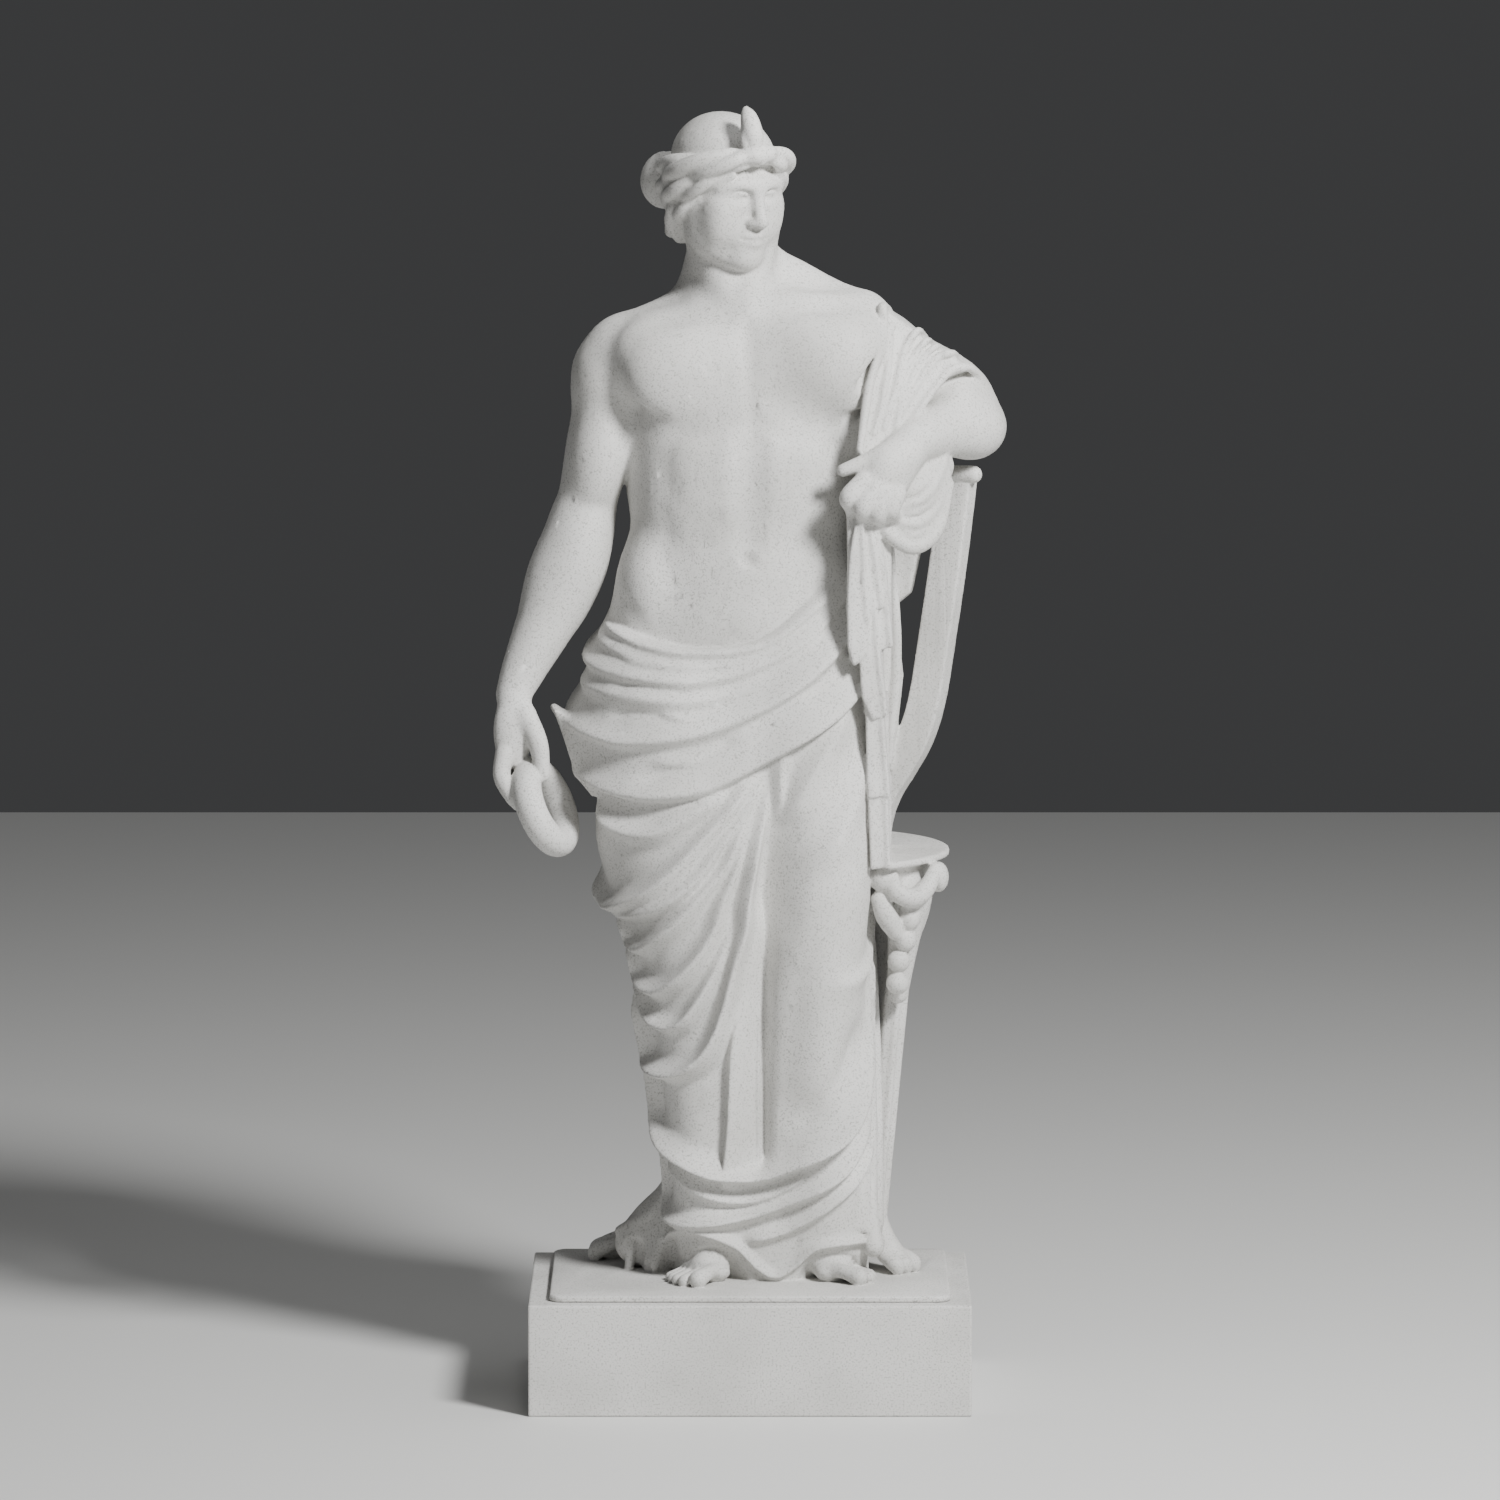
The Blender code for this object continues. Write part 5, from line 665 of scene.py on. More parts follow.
def carveDrape(stone):
    cloth = drawDrapeFolds()
    rim = smoothPath(drapeRim, 120)
    legs = (
        limb([(5.0, -1.8, 52), (6.0, -4.1, 38), (6.0, -4.7, 28), (6.2, -3.5, 16), (6.9, -2.0, 3)],
             (5.0, 4.4, 3.7, 3.1, 2.6), 33),
        limb([(-6.6, -1.0, 50), (-4.7, -2.4, 28), (-3.6, -2.2, 4)], (6.0, 3.7, 2.5), 9),
    )

    def distance(x, y, z):
        left, right, front, back = girth(z)
        half, depth = (right - left) / 2, (back - front) / 2
        px, py = (x - (left + right) / 2) / half, (y - (front + back) / 2) / depth
        out = (np.abs(px) ** hemPower + np.abs(py) ** hemPower) ** (1 / hemPower)
        found = (out - 1) * np.minimum(half, depth)
        for leg in legs:
            found = least(found, leg[0](x, y, z), 2.0)
        turn = mapRadius * np.arctan2(px, -py)
        found = found - cloth.look(turn, z)
        top = np.interp(turn, rim[:, 0], rim[:, 1])
        return most(found, (z - top) * 0.85, 0.5)

    drape = stone.room((-20, -13, -1), (17, 14, 90))
    drape.add((distance, np.array([-18.0, -11.5, 0.0]), np.array([15.0, 11.5, 88.0])), 0)
    # The far corner of the overfold stands clear of the hip
    drape.add(panel([(-16.9, 49.3), (-15.9, 46.6), (-14.9, 43.5), (-13.5, 41.9), (-10.4, 42.2),
        (-10.4, 47.2), (-13.0, 47.3), (-15.2, 48.4)], -2.3, 1.3, edge=0.12, lean=(-0.5, 0)), 0.4)
    drape.limb([(-16.8, -0.2, 49.3), (-15.3, -1.6, 48.3), (-13.0, -3.6, 47.3), (-10.4, -5.6, 46.9)],
        (0.3, 0.5, 0.6, 0.6), 0.4)
    # The train that spreads over the ground on the far side
    drape.limb([(-5.2, 3.4, 11.0), (-5.9, 3.4, 8.0), (-6.9, 3.3, 6.0), (-8.3, 3.2, 4.2), (-9.7, 3.0, 2.2)],
        (0.9, 1.3, 1.5, 1.8, 2.0), 0.8)
    drape.limb([(-5.8, 1.8, 7.5), (-7.0, 1.4, 3.6), (-8.2, 0.8, 0.8)], (1.0, 1.5, 1.2), 1.2)
    drape.limb([(-6.0, 2.4, 9.0), (-8.2, 1.7, 5.2), (-11.3, 2.6, 3.3)], (0.3, 0.4, 0.4), 0.5)
    drape.limb([(-6.2, 0.6, 6.4), (-7.4, 0.1, 3.0), (-8.4, -0.4, 0.7)], (0.3, 0.5, 0.5), 0.5)
    drape.cut(limb([(-10.1, 0.6, 2.2), (-10.3, 0.5, 0)], (1.05, 1.15)), 0.15)
    drape.limb([(-10.1, 2.0, 3.0), (-10.5, 1.3, 0)], (0.5, 0.4), 0.3)
    drape.cut(limb([(-9.0, -0.4, 0.6), (-9.2, -0.5, 0)], (0.55, 0.6)), 0.15)
    # Arches in the hem over each foot
    drape.cut(egg((-3.3, -6.4, -0.2), (3.8, 3.9, 3.7)), 0.3)
    drape.cut(egg((7.6, -5.8, -0.3), (3.9, 3.8, 3.0)), 0.3)
    # Upright folds gathered at the near side, down to a corner that hangs by the foot
    drape.limb([(9.8, 0.0, 31), (9.9, -0.2, 16), (10.1, -0.8, 4)], (0.7, 1.2, 1.2), 0.6)
    for x, y, top, size in ((9.65, -2.0, 27.5, 0.42), (10.35, -1.3, 31.0, 0.48), (10.95, -0.3, 29.0, 0.42)):
        drape.limb([(x - 0.3, y + 0.5, top), (x, y, 0.6 * top), (x + 0.15, y - 0.7, 4.5)],
            (0.5 * size, size, 1.1 * size), 0.15)
    drape.limb([(10.4, -2.2, 8), (10.5, -2.8, 4.8), (10.6, -3.2, 2.9)], (0.4, 0.65, 0.95), 0.35)
    stone.join(drape, 0.25)


def carveShoulderCloth(stone):
    shawl = stone.room((6, -12, 60), (25, 10, 88))
    shawl.limb([(10.6, 1.2, 80.0), (13.8, 2.3, 78.2), (17.0, 3.4, 76.2)], (2.9, 2.95, 2.9), 0.8)

    # A place on the slanting cloth between the shoulder and the hand
    def onCloth(x, z):
        return x, -7.2 + 0.42 * (z - 71) + 0.28 * (x - 9), z

    sheet = [(11.3, 83.6), (13.3, 82.3), (14.5, 81.3), (15.6, 80.3), (17.4, 79.5), (18.7, 78.4),
        (17.0, 77.8), (15.3, 76.2), (14.2, 74.6), (12.5, 72.0), (9.2, 70.6), (9.6, 75.0), (10.5, 79.0)]
    middleX, middleZ = np.mean(sheet, 0)
    shawl.add(panel(sheet, onCloth(middleX, middleZ)[1] + 3, 6.0, edge=0.35, lean=(0.28, 0.42)), 0.6)
    # A groove in the chest beside its inner edge
    innerEdge = ((11.0, 80.8), (10.8, 79.9), (10.5, 78.8), (10.1, 77.4))
    groove = [(x - 0.7, y - 0.55, z) for x, y, z in (onCloth(*place) for place in innerEdge)]
    stone.cut(limb(groove, (0.15, 0.45, 0.6, 0.3)), 0.9)
    # Folds that run from the top of the shoulder down to the hand
    folds = (
        (0.40, 0.5, ((11.3, 83.8), (11.4, 82.4), (11.07, 81.0), (10.55, 78.8), (10.1, 77.1), (9.8, 75.3),
                     (9.3, 72.0))),
        (0.30, 0.05, ((12.1, 82.2), (11.9, 80.5), (11.75, 78.8), (11.4, 76.7), (11.15, 75.4), (10.5, 73.3))),
        (0.32, 0.05, ((14.3, 81.7), (13.4, 80.6), (12.9, 79.2), (12.5, 77.3), (11.8, 75.3), (11.4, 73.7))),
        (0.28, 0.05, ((15.1, 80.9), (14.2, 79.9), (13.4, 78.8), (12.9, 77.6), (12.6, 76.2))),
        (0.26, 0.05, ((15.9, 80.4), (14.8, 79.5), (14.0, 78.3), (13.3, 76.9), (12.4, 75.0))),
        (0.32, 0.05, ((17.2, 79.8), (16.1, 79.5), (15.4, 78.9), (14.6, 77.8), (13.6, 76.3), (12.9, 75.2),
                      (12.4, 73.8))),
    )
    for size, proud, places in folds:
        path = [(x, y - proud, z) for x, y, z in (onCloth(*place) for place in places)]
        top = path[0]
        over = (top[0] + 0.7, top[1] + 4.0, top[2] - 0.7)
        shawl.limb([over] + path, [0.6 * size] + [size] * (len(path) - 1) + [0.7 * size], 0.22)
    # The rolled edge round the arm, above the elbow
    seam = ((14.0, 74.7), (14.8, 75.7), (15.4, 76.5), (16.2, 77.5), (17.0, 78.3), (17.9, 78.6))
    edge = [onCloth(x, z) for x, z in seam]
    edge += [(18.7, -0.7, 78.5), (19.4, 0.6, 77.8), (20.0, 2.4, 76.5), (19.9, 4.6, 75.2), (18.9, 6.4, 74.0)]
    shawl.limb(edge, [0.3] * 4 + [0.36] * 7, 0.22)
    # The cloth caught under the hand and looped below the arm
    shawl.egg((15.7, -2.2, 70.2), (1.7, 1.6, 1.5), 0.5)
    shawl.egg((13.6, -3.4, 67.8), (3.3, 2.8, 3.9), 1.0, turned(0, 8, 0))
    for lift, size in ((0, 0.62), (0.22, 0.4), (0.42, 0.5), (0.66, 0.4), (0.85, 0.5)):
        shawl.limb([(10.2 + 0.9 * lift, -7.0, 66.8 + 0.9 * lift),
            (11.8 + 1.1 * lift, -6.9, 64.9 + 2.9 * lift),
            (13.9 + 0.6 * lift, -6.2 - 0.3 * lift, 63.7 + 4.8 * lift),
            (15.9 - 0.3 * lift, -5.2, 65.1 + 4.6 * lift), (16.9 - 0.4 * lift, -3.4, 68.8 + 2.6 * lift)],
            (0.7 * size, size, 1.1 * size, size, 0.8 * size), 0.25)
    stone.join(shawl, 0.25)
    # The cloth that falls behind the arm
    fall = panel([(9.5, 70), (11.4, 66), (12.0, 60.2), (12.7, 56.5), (13.2, 51.6), (12.7, 47.0),
        (12.0, 43.5), (9.0, 43)], 4.2, 3.0, edge=0.5)
    stone.add(fall, 0.4)
    for x in (10.2, 11.2, 12.2):
        stone.limb([(x - 0.4, 2.6, 66), (x + 0.4, 2.5, 54), (x - 0.3, 2.7, 44)], (0.3, 0.45, 0.35), 0.3)


# The stepped pleats that hang from under the hand, each one behind the one above
def carvePleats(stone):
    thick = sizes["pleatThickness"] / unit
    pleats = (
        (-7.7, [(9.1, 67.0), (9.7, 67.0), (9.95, 61.7), (10.2, 57.6), (10.0, 54.7), (8.8, 53.6),
                (8.3, 55.3), (8.2, 59.0),
                (8.4, 63.0)]),
        (-7.2, [(9.5, 66.5), (10.2, 66.5), (10.9, 62.8), (11.4, 58.7), (10.2, 58.3)]),
        (-6.7, [(10.0, 66.0), (10.8, 66.0), (11.6, 61.6), (12.2, 55.3), (11.1, 54.9)]),
        (-6.9, [(8.9, 59.6), (10.7, 59.6), (11.2, 54.0), (11.8, 49.5), (10.4, 48.9), (9.5, 51.0)]),
        (-6.2, [(9.8, 51.0), (11.3, 51.0), (11.7, 46.0), (12.0, 42.4), (10.0, 42.2)]),
        (-5.7, [(10.0, 44.0), (11.7, 44.0), (11.9, 40.0), (12.0, 36.2), (10.3, 36.0)]),
    )
    for middle, outline in pleats:
        stone.add(panel(outline, middle, thick, edge=0.15, lean=(0.35, -0.02)), 0.12)
        centreX, centreZ = np.mean(outline, 0)
        ridge = [(x - 0.28, middle - thick / 2 + 0.35 * (x - 0.28 - centreX) - 0.02 * (z - centreZ),
            z) for x, z in outline[1:4]]
        stone.limb(ridge, (0.2, 0.24, 0.2), 0.15)
        spine = sum(x for x, _ in outline) / len(outline)
        low, high = min(z for _, z in outline), max(z for _, z in outline)
        stone.add(panel([(spine - 1.0, high), (spine + 0.9, high), (spine + 0.9, low + 0.5),
            (spine - 0.7, low + 0.5)], middle + 1.8, 3.4, edge=0.2, lean=(0.35, -0.02)), 0.3)


# The tripod and the lyre

tripodX, tripodY = 3.6, 4.6
bowlTop = 36.6


def carveTripod(stone):
    rim, radius = sizes["bowlRim"] / unit, sizes["bowlRadius"] / unit
    stand = stone.room((-16, -9, -1), (20, 19, 40))
    profile = [(0, bowlTop - 0.3), (radius - 0.6, bowlTop - 0.05), (radius - 0.3, bowlTop),
        (radius, bowlTop - 0.1), (radius, bowlTop - rim), (radius - 0.8, bowlTop - rim - 0.2),
        (radius - 1.7, bowlTop - 2.6), (radius - 3.4, bowlTop - 4.6), (0, bowlTop - 6.4)]
    stand.add(turning(profile, tripodX, tripodY), 0.1)
    stand.limb([(tripodX, tripodY, 31), (tripodX, tripodY, 20), (tripodX, tripodY, 2)], (3.4, 2.0, 3.4),
        0.8)
    # Each leg: its top, ankle and toe, and the way its fluted face looks
    legs = (
        ((12.9, 1.6), (10.9, 1.8), (13.3, -0.5), (0.3, -0.95)),
        ((-9.0, 6.4), (-6.3, 6.4), (-13.2, 6.7), (-0.7, -0.7)),
        ((4.0, 13.6), (4.0, 9.2), (4.0, 10.6), (0, 1)),
    )
    for top, ankle, toe, face in legs:
        stand.limb([(*top, 33.0), (*top, 30), (*ankle, 8), (*ankle, 3)], (1.5, 1.15, 0.85, 1.1), 0.5)
        for shift, proud in ((-0.8, 0.5), (0, 0.9), (0.8, 0.5)):
            shiftX = -face[1] * shift + face[0] * proud
            shiftY = face[0] * shift + face[1] * proud
            stand.limb([(top[0] + shiftX, top[1] + shiftY, 29.5), (ankle[0] + shiftX * 0.7,
                ankle[1] + shiftY * 0.7, 4.5)], (0.36, 0.3), 0.12)
        # A paw with its toes
        out = Vector((toe[0] - ankle[0], toe[1] - ankle[1])).normalized()
        side = Vector((-out.y, out.x))
        stand.limb([(*ankle, 3.4), (toe[0] - out.x, toe[1] - out.y, 1.2)], (1.2, 1.1), 0.8)
        for shift in (-1.1, -0.05, 1.0):
            place = (toe[0] + side.x * shift, toe[1] + side.y * shift)
            stand.limb([(place[0] - out.x * 1.4, place[1] - out.y * 1.4, 1.6), (*place, 1.0),
                (place[0] + out.x * 0.3, place[1] + out.y * 0.3, 0.6)], (0.6, 0.72, 0.55), 0.12)
    # The stone left behind the near leg
    stand.limb([(12.0, 2.8, 33), (11.8, 2.8, 24), (11.0, 2.6, 10)], (1.6, 1.15, 0.8), 0.5)
    # Where the body stands in front of the bowl there is no room for it
    stand.cut(panel([(-20, 37.5), (11.9, 37.5), (11.9, 29), (-20, 29)], -8.6, 11, edge=0.05), 0.1)
    # A festoon with fruit and buds on the near leg
    stand.egg((11.3, -4.3, 35.1), (1.1, 1.1, 1.3), 0.1)
    stand.limb([(12.1, -4.6, 35.2), (12.5, -4.6, 33.9), (13.9, -4.5, 33.3), (15.1, -3.8, 34.1),
        (15.9, -2.4, 35.5)], (0.6, 0.78, 0.82, 0.78, 0.6), 0.12)
    stand.egg((16.2, -1.8, 34.8), (0.85, 1.3, 1.3), 0.2)
    stand.limb([(11.1, -4.2, 33.2), (11.7, -4.1, 31.7), (12.5, -3.7, 30.3)], (0.75, 0.95, 0.75), 0.12)
    stand.limb([(13.6, -2.0, 33), (13.2, -1.6, 29.5), (12.7, -1.0, 24.6)], (2.0, 1.4, 0.9), 0.6)
    for x, z, wide, tall in ((13.6, 31.5, 1.0, 1.2), (13.3, 29.5, 0.95, 0.95), (12.75, 27.7, 0.98, 0.98),
            (12.65, 25.8, 0.98, 0.98)):
        stand.egg((x, -3.2, z), (wide, wide, tall), 0.08)
    stand.limb([(15.2, 0.2, 33.8), (14.6, -0.4, 31.6), (14.2, -0.6, 29.6)], (0.7, 0.8, 0.5), 0.25)
    stone.join(stand, 0.15)


def carveLyre(stone):
    lyre = Pose((8.5, 6.6, bowlTop), (0, 0, -20))
    armWide, armDeep = sizes["lyreArmWidth"] / unit / 2, sizes["lyreArmDepth"] / unit
    block = stone.room((-5, -4, 35), (24, 18, 74))
    spine = smoothPath([(2.4, 2.5), (3.4, 4.9), (4.8, 7.1), (6.2, 9.6), (7.2, 12.8), (8.0, 17.5),
        (9.2, 25.5), (10.1, 32.9)], 24)
    run = np.gradient(spine, axis=0)
    across = np.column_stack([-run[:, 1], run[:, 0]]) / np.linalg.norm(run, axis=1)[:, None]
    edge = np.vstack([spine + across * armWide, (spine - across * armWide)[::-1]])
    for side in (-1, 1):
        block.add(panel([(side * x, z) for x, z in edge], 0, armDeep, lyre, edge=0.12), 0.1)
        scroll = [lyre.at(side * 10.1 + shift, -0.7, 32.5) for shift in (-1.5, 1.5)]
        block.limb(scroll, (0.75, 0.75), 0.1)
    block.add(panel([(-3.4, 0), (3.4, 0), (3.8, 2.5), (3.2, 6), (2.2, 9.5), (-2.2, 9.5), (-3.2, 6),
        (-3.8, 2.5)], 0, 3.2, lyre, edge=0.5), 0.3)
    block.add(panel([(-2.2, 8), (2.2, 8), (3.6, 20.4), (5.6, 22), (6.6, 26.5), (-6.6, 26.5), (-5.6, 22),
        (-3.6, 20.4)], 0.4, 1.0, lyre, edge=0.2), 0.2)
    block.limb([lyre.at(-10.4, 0.2, 29.5), lyre.at(10.4, 0.2, 29.5)], (0.7, 0.7), 0.2)
    stone.join(block, 0.2)


def carveRing(stone):
    stone.add(ring((-17.5, -2.9, 41.0), (0.37, -0.12, -0.92), (0.33, 0.94, 0.0), sizes["ringRadius"] / unit,
        sizes["ringThickness"] / unit), 0.12)


def carveFeet(stone):
    for origin, yaw in (((-1.9, -1.4, 0), -36), ((4.5, -1.9, 0), 60)):
        foot = Pose(origin, (0, 0, yaw))
        inner = 1 if yaw < 0 else -1
        block = stone.room((origin[0] - 11, origin[1] - 9, -0.5), (origin[0] + 9, origin[1] + 6, 7))
        block.limb([foot.at(0, 1.5, 1.8), foot.at(0, -1.0, 2.3), foot.at(0.1 * inner, -3.6, 1.3)],
            (2.0, 1.85, 1.2), 0.8)
        block.egg(foot.at(0, -3.2, 0.95), (2.3, 1.5, 1.05), 0.6, foot.turn)
        toes = ((1.55, 6.5, 0.78), (0.33, 6.8, 0.56), (-0.68, 6.4, 0.52), (-1.6, 5.8, 0.48),
            (-2.4, 5.1, 0.44))
        for shift, length, size in toes:
            x = shift * inner
            block.limb([foot.at(x * 0.8, -3.4, 1.15), foot.at(x * 0.95, 1.5 - length, size + 0.35),
                foot.at(x, -length, size)], (size * 0.9, size * 0.82, size), 0.06)
        stone.join(block, 0.1)


# The thin slab under the feet, let down to its own underside
def carveGround(stone):
    halfX, halfY = sizes["slabWidth"] / unit / 2, sizes["slabDepth"] / unit / 2
    corner = sizes["slabCorner"] / unit
    low, high = -slabTop, 0.12

    def distance(x, y, z):
        qx, qy = np.abs(x) - halfX + corner, np.abs(y) - halfY + corner
        flat = np.hypot(np.maximum(qx, 0), np.maximum(qy, 0)) + np.minimum(np.maximum(qx, qy), 0) - corner
        return np.maximum(flat, np.maximum(z - high, low - z))

    stone.add((distance, np.array([-halfX, -halfY, low]), np.array([halfX, halfY, high])), 0.12)
    stone.value = np.maximum(stone.value, (low - stone.axes[2]).reshape(1, 1, -1))


# From the field to a mesh

# Fills the cells where the skin would touch itself along an edge or at a point
def fillDoubtful(inside):
    for _ in range(carving["fillRounds"]):
        before = inside.sum()
        for axis in range(3):
            faces = np.moveaxis(inside, axis, 0)
            a, b, c, d = faces[:, :-1, :-1], faces[:, 1:, :-1], faces[:, :-1, 1:], faces[:, 1:, 1:]
            doubtful = (a & d & ~b & ~c) | (b & c & ~a & ~d)
            for corner in (a, b, c, d):
                corner |= doubtful
        corners = [inside[i : i - 1 or None, j : j - 1 or None, k : k - 1 or None]
                   for i in (0, 1) for j in (0, 1) for k in (0, 1)]
        count = sum(corner.astype(np.int8) for corner in corners)
        for first in range(4):
            pair, rest = corners[first], corners[7 - first]
            doubtful = ((count == 2) & pair & rest) | ((count == 6) & ~pair & ~rest)
            for corner in corners:
                corner |= doubtful
        if inside.sum() == before:
            return


# Points and four-sided faces of the surface where the field is zero
def skin(block):
    value = block.value
    inside = value < 0
    fillDoubtful(inside)
    clear = carving["skinClear"]
    value = np.where(inside, np.minimum(value, -clear), np.maximum(value, clear))
    cornerSteps = [(i, j, k) for i in (0, 1) for j in (0, 1) for k in (0, 1)]
    count = sum(inside[i : i - 1 or None, j : j - 1 or None, k : k - 1 or None].astype(np.int8) for i, j,
        k in cornerSteps)
    cells = np.argwhere((count > 0) & (count < 8))
    number = np.full(count.shape, -1, np.int32)
    number[tuple(cells.T)] = np.arange(len(cells))
    at = {step: value[tuple((cells + step).T)] for step in cornerSteps}
    total, crossings = np.zeros((len(cells), 3)), np.zeros(len(cells))
    for step in cornerSteps:
        for axis in range(3):
            if step[axis]:
                continue
            other = tuple(s + (i == axis) for i, s in enumerate(step))
            a, b = at[step], at[other]
            crossed = (a < 0) != (b < 0)
            share = np.where(crossed, a / np.where(crossed, a - b, 1), 0)
            place = np.array(step, float)[None, :].repeat(len(cells), 0)
            place[:, axis] += share
            total += place * crossed[:, None]
            crossings += crossed
    local = cells + total / crossings[:, None]
    points = np.column_stack([np.interp(local[:, i], np.arange(len(axis)), axis) for i,
        axis in enumerate(block.axes)])
    faces = []
    for axis in range(3):
        here = np.take(inside, range(inside.shape[axis] - 1), axis)
        beyond = np.take(inside, range(1, inside.shape[axis]), axis)
        u, v = (axis + 1) % 3, (axis + 2) % 3
        for crossing, flip in ((here & ~beyond, False), (~here & beyond, True)):
            edge = np.argwhere(crossing)
            edge = edge[(edge[:, u] > 0) & (edge[:, v] > 0)]
            shiftU, shiftV = np.eye(3, dtype=int)[u], np.eye(3, dtype=int)[v]
            around = [edge - shiftU - shiftV, edge - shiftV, edge, edge - shiftU]
            quad = np.column_stack([number[tuple(c.T)] for c in around])
            faces.append(quad[:, ::-1] if flip else quad)
    return points, np.vstack(faces)


# Only the faces that hang together with the widest piece
def largestPiece(points, faces):
    label = np.arange(len(points))
    while True:
        lowest = label[faces].min(1)
        before = label.copy()
        for i in range(faces.shape[1]):
            np.minimum.at(label, faces[:, i], lowest)
        label = label[label]
        if (label == before).all():
            break
    labels, counts = np.unique(label[faces[:, 0]], return_counts=True)
    faces = faces[label[faces[:, 0]] == labels[counts.argmax()]]
    used = np.unique(faces)
    number = np.full(len(points), -1)
    number[used] = np.arange(len(used))
    return points[used], number[faces]


# Places along one axis, closer together between two of them
def gridPlaces(low, high, cell, fineLow, fineHigh, fineCell):
    spans = ((low, fineLow, cell), (fineLow, fineHigh, fineCell), (fineHigh, high, cell))
    return np.concatenate([np.arange(*span) for span in spans]).astype(np.float32)


def carveStatue():
    cell = carving["cell"] / unit
    headCell = min(cell, carving["headCell"] / unit)
    places = [
        gridPlaces(-24.0, 24.0, cell, -11.0, 5.0, headCell),
        gridPlaces(-13.0, 19.5, cell, -8.0, 9.0, headCell),
        gridPlaces(-slabTop - 2.5 * cell, 102.5, cell, 86.0, 102.5, headCell),
    ]
    stone = Block(places)
    steps = [
        ("body", carveTorso),
        ("head", carveHead),
        ("drape", carveDrape),
        ("tripod", carveTripod),
        ("lyre", carveLyre),
        ("shoulder cloth", carveShoulderCloth),
        ("pleats", carvePleats),
        ("right arm", carveRightArm),
        ("left arm", carveLeftArm),
        ("ring", carveRing),
        ("feet", carveFeet),
        ("slab", carveGround),
    ]
    for name, carve in steps:
        carve(stone)
        print("carved", name)
    return stone


# Thinning leaves a few slivers folded over; their corners move to the middle of their neighbours
def relaxSlivers(mesh):
    shape = bmesh.new()
    shape.from_mesh(mesh)
    for _ in range(carving["relaxRounds"]):
        shape.normal_update()
        folded = [
            edge for edge in shape.edges
            if edge.is_manifold and edge.calc_face_angle() > carving["foldAngle"]
        ]
        if not folded:
            break
        corners = list({corner for edge in folded for corner in edge.verts})
        bmesh.ops.smooth_vert(shape, verts=corners, factor=1, use_axis_x=True, use_axis_y=True,
            use_axis_z=True)
    shape.to_mesh(mesh)
    shape.free()
    print("slivers relaxed, folded edges left:", len(folded))


def buildStatue():
    points, faces = largestPiece(*skin(carveStatue()))
    underside = points[:, 2] < -slabTop + carving["undersideBand"]
    points[underside, 2] = -slabTop
    points = points * unit
    points[:, 2] += sizes["plinthHeight"] + sizes["seatGap"] + sizes["slabThickness"]
    mesh = bpy.data.meshes.new("statue skin")
    mesh.vertices.add(len(points))
    mesh.vertices.foreach_set("co", points.astype(np.float32).ravel())
    mesh.loops.add(faces.size)
    mesh.loops.foreach_set("vertex_index", faces.astype(np.int32).ravel())
    mesh.polygons.add(len(faces))
    mesh.polygons.foreach_set("loop_start", np.arange(0, faces.size, 4, dtype=np.int32))
    mesh.update(calc_edges=True)
    rough = bpy.data.objects.new("statue rough", mesh)
    bpy.context.scene.collection.objects.link(rough)
    thin = rough.modifiers.new("thin", "DECIMATE")
    thin.ratio = min(1, carving["triangles"] / (2 * len(faces)))
    bpy.context.view_layer.update()
    graph = bpy.context.evaluated_depsgraph_get()
    finished = bpy.data.meshes.new_from_object(rough.evaluated_get(graph))
    bpy.data.objects.remove(rough)
    relaxSlivers(finished)
    statue = bpy.data.objects.new("statueCarving", finished)
    bpy.context.scene.collection.objects.link(statue)
    for polygon in finished.polygons:
        polygon.use_smooth = True
    print("statue skinned:", len(faces), "cells,", len(finished.polygons), "triangles")
    return statue


# Colours are sRGB hex values; the shaders work in linear light
def linear(hexColour):
    parts = [int(hexColour[i:i + 2], 16) / 255 for i in (1, 3, 5)]
    return tuple(c / 12.92 if c <= 0.04045 else ((c + 0.055) / 1.055) ** 2.4 for c in parts) + (1,)


def addNode(tree, kind, settings=None, links=None):
    node = tree.nodes.new(kind)
    for name, value in (settings or {}).items():
        if name in node.inputs:
            node.inputs[name].default_value = value
        else:
            setattr(node, name, value)
    for name, source in (links or {}).items():
        tree.links.new(source, node.inputs[name])
    return node


marbleLook = {
    "light": "#D6D5D2",
    "dark": "#C2C1BD",
    "speck": "#A5A4A0",
    "grainMm": 3.0,         # marble crystals are nearer 1 mm; drawn coarser so that they show
    "cloudMm": 160,
    "cloudStops": (0.25, 0.6),  # where the noise turns from dark to light
    "speckStops": (0.34, 0.47), # full speck below the first, none above the second
    "roughness": 0.68,
    "ior": 1.5,
    "grainDepth": 0.0004,
    "grainStrength": 0.5,
}


def addNoise(tree, place, sizeMm, detail, roughness):
    settings = {"Scale": 1000 / sizeMm, "Detail": detail, "Roughness": roughness}
    return addNode(tree, "ShaderNodeTexNoise", settings, {"Vector": place}).outputs["Fac"]


def addRamp(tree, source, stops, colours):
    ramp = addNode(tree, "ShaderNodeValToRGB", links={"Fac": source})
    for element, position, colour in zip(ramp.color_ramp.elements, stops, colours):
        element.position = position
        element.color = colour
    return ramp.outputs["Color"]


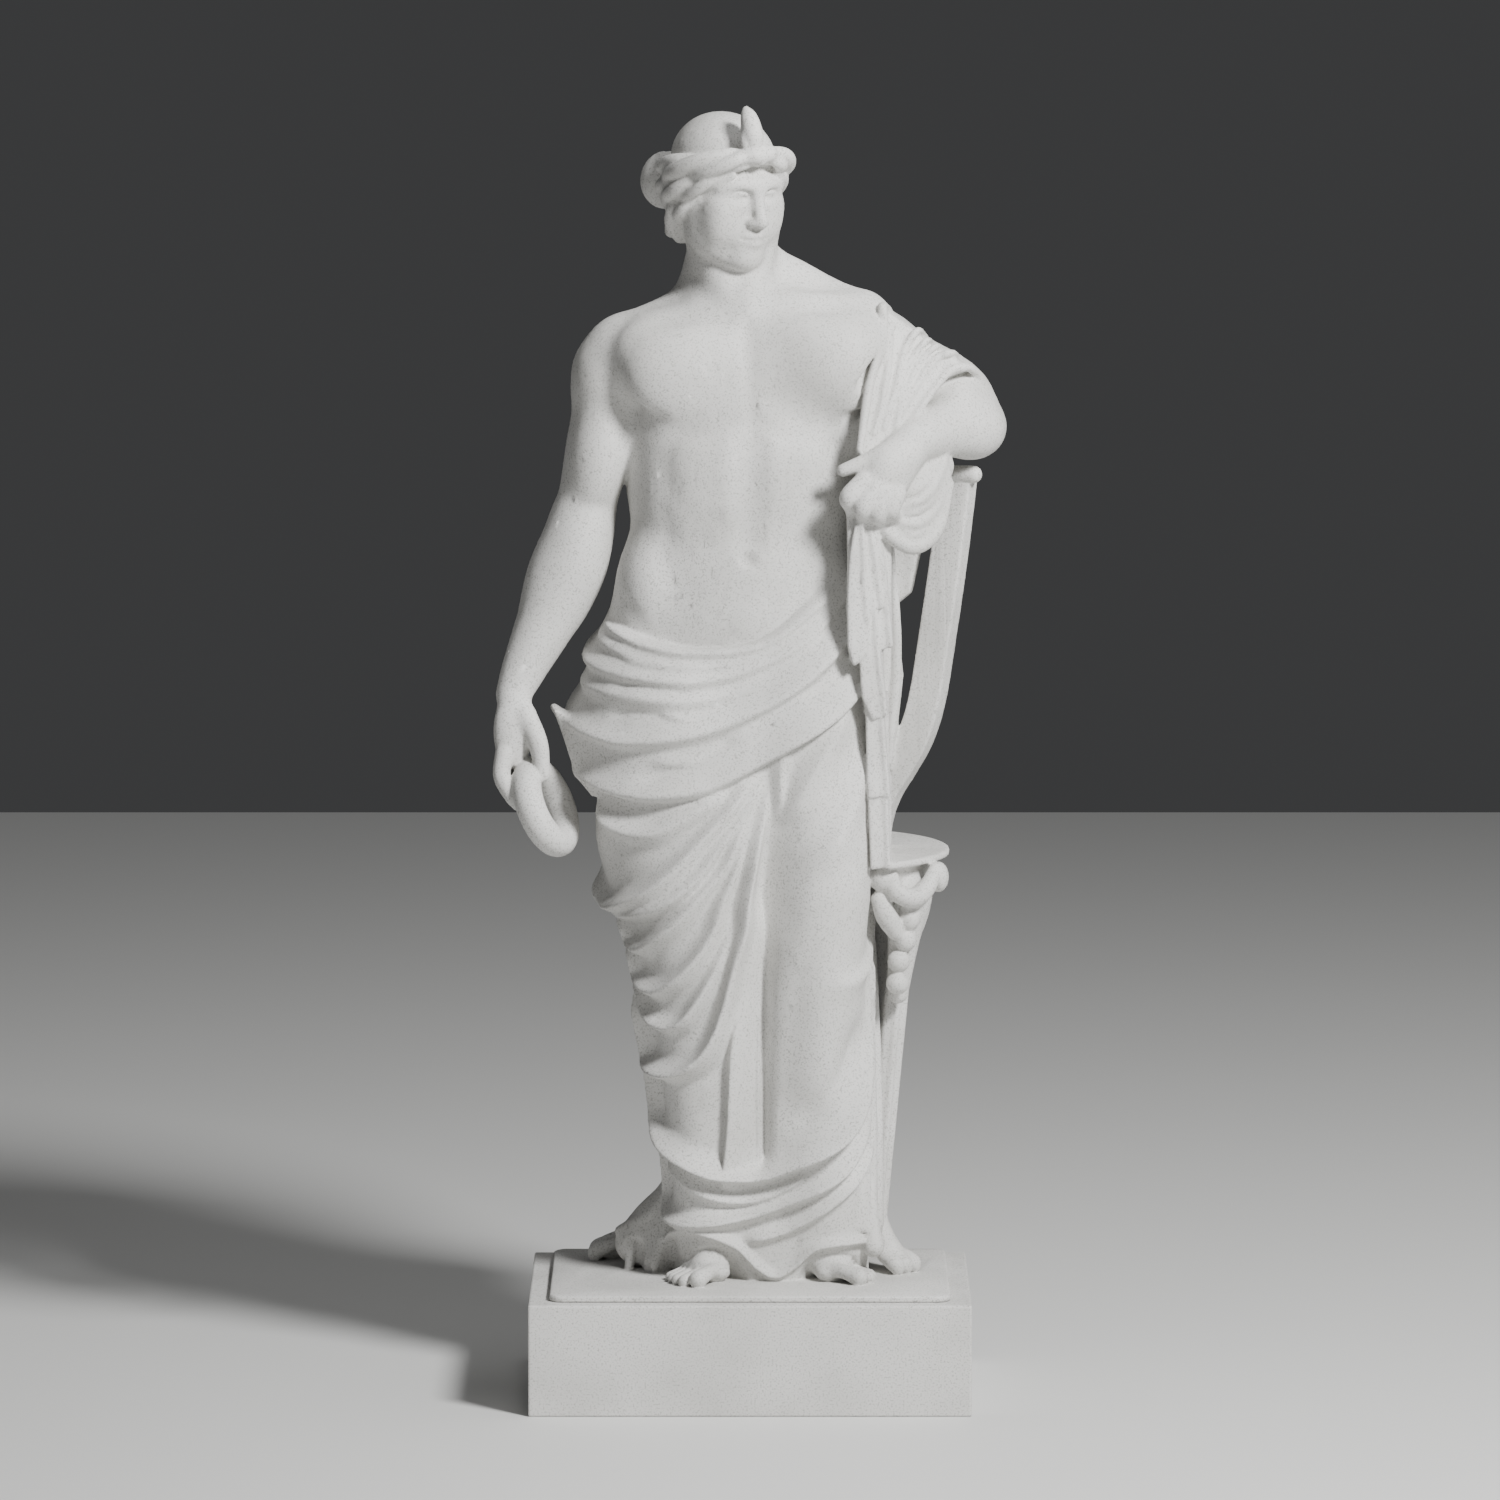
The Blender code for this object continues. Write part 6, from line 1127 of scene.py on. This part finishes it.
# White statuary marble, rubbed matt: even off-white, a fine sparkle of grey crystals and hardly any shine
def whiteMarble(name, look):
    material = bpy.data.materials.new(name)
    material.use_nodes = True
    tree = material.node_tree
    tree.nodes.clear()
    place = addNode(tree, "ShaderNodeTexCoord").outputs["Object"]
    cloud = addNoise(tree, place, look["cloudMm"], 3.0, 0.5)
    grain = addNoise(tree, place, look["grainMm"], 2.0, 0.7)
    base = addRamp(tree, cloud, look["cloudStops"], (linear(look["dark"]), linear(look["light"])))
    specks = addRamp(tree, grain, look["speckStops"], ((1, 1, 1, 1), (0, 0, 0, 1)))
    colour = addNode(tree, "ShaderNodeMix", {"data_type": "RGBA"})
    tree.links.new(specks, colour.inputs[0])
    tree.links.new(base, colour.inputs[6])
    colour.inputs[7].default_value = linear(look["speck"])
    bump = addNode(tree, "ShaderNodeBump", {"Strength": look["grainStrength"],
        "Distance": look["grainDepth"]}, {"Height": grain})
    shader = addNode(tree, "ShaderNodeBsdfPrincipled", {"Roughness": look["roughness"], "IOR": look["ior"]},
        {"Base Color": colour.outputs[2], "Normal": bump.outputs["Normal"]})
    addNode(tree, "ShaderNodeOutputMaterial", links={"Surface": shader.outputs["BSDF"]})
    return material


def dress(piece, material):
    piece.data.materials.clear()
    piece.data.materials.append(material)


statue = buildStatue()
dress(statue, whiteMarble("white marble of the statue", marbleLook))
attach(statue, "root")
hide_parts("statue")
dress(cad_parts["plinth"], whiteMarble("white marble of the plinth", marbleLook))
print("marble on")

studio = {
    "floor": "#D8D8D6",
    "floorRoughness": 0.8,
    "floorSize": 14,
    "surround": "#B9BABC",
    "surroundStrength": 0.10,
    "viewWidth": 2.3175,        # metres across the picture at the statue
    "lens": 240,                # long, as the photograph's verticals stay upright
    "sensor": 36,
    "elevation": 7,
    "aim": (0, 0, 1.001),
    "lightAim": (0, 0, 1.1),
    # place, width and power
    "lights": {
        "key light": ((2.8, -3.6, 4.4), 1.2, 620),
        "fill light": ((-3.0, -3.6, 2.4), 2.4, 11),
        "top light": ((0.2, 0.0, 5.0), 1.6, 40),
    },
}


def paint(name, hexColour):
    material = bpy.data.materials.new(name)
    material.use_nodes = True
    shader = material.node_tree.nodes["Principled BSDF"]
    shader.inputs["Base Color"].default_value = linear(hexColour)
    shader.inputs["Roughness"].default_value = studio["floorRoughness"]
    return material


def addFloor():
    half = studio["floorSize"] / 2
    mesh = bpy.data.meshes.new("studioFloor")
    mesh.from_pydata([(-half, -half, 0), (half, -half, 0), (half, half, 0), (-half, half, 0)], [],
        [(0, 1, 2, 3)])
    floor = bpy.data.objects.new("studioFloor", mesh)
    bpy.context.scene.collection.objects.link(floor)
    dress(floor, paint("pale studio floor", studio["floor"]))


def addLight(name, place, size, power):
    lamp = bpy.data.lights.new(name, "AREA")
    lamp.shape = "DISK"
    lamp.size = size
    lamp.energy = power
    light = bpy.data.objects.new(name, lamp)
    light.location = place
    light.rotation_euler = (Vector(studio["lightAim"]) - Vector(place)).to_track_quat("-Z", "Y").to_euler()
    bpy.context.scene.collection.objects.link(light)


def addCamera():
    lens = bpy.data.cameras.new("camera")
    lens.lens = studio["lens"]
    lens.sensor_width = studio["sensor"]
    distance = studio["viewWidth"] * studio["lens"] / studio["sensor"]
    tilt = math.radians(studio["elevation"])
    camera = bpy.data.objects.new("camera", lens)
    back = Vector((0, -math.cos(tilt), math.sin(tilt)))
    camera.location = Vector(studio["aim"]) + back * distance
    camera.rotation_euler = (-back).to_track_quat("-Z", "Y").to_euler()
    lens.clip_end = 100
    bpy.context.scene.collection.objects.link(camera)
    bpy.context.scene.camera = camera


def addWorld():
    world = bpy.data.worlds.new("studio")
    world.use_nodes = True
    background = world.node_tree.nodes["Background"]
    background.inputs["Color"].default_value = linear(studio["surround"])
    background.inputs["Strength"].default_value = studio["surroundStrength"]
    bpy.context.scene.world = world


addFloor()
for lightName, light in studio["lights"].items():
    addLight(lightName, *light)
addCamera()
addWorld()
print("studio ready")
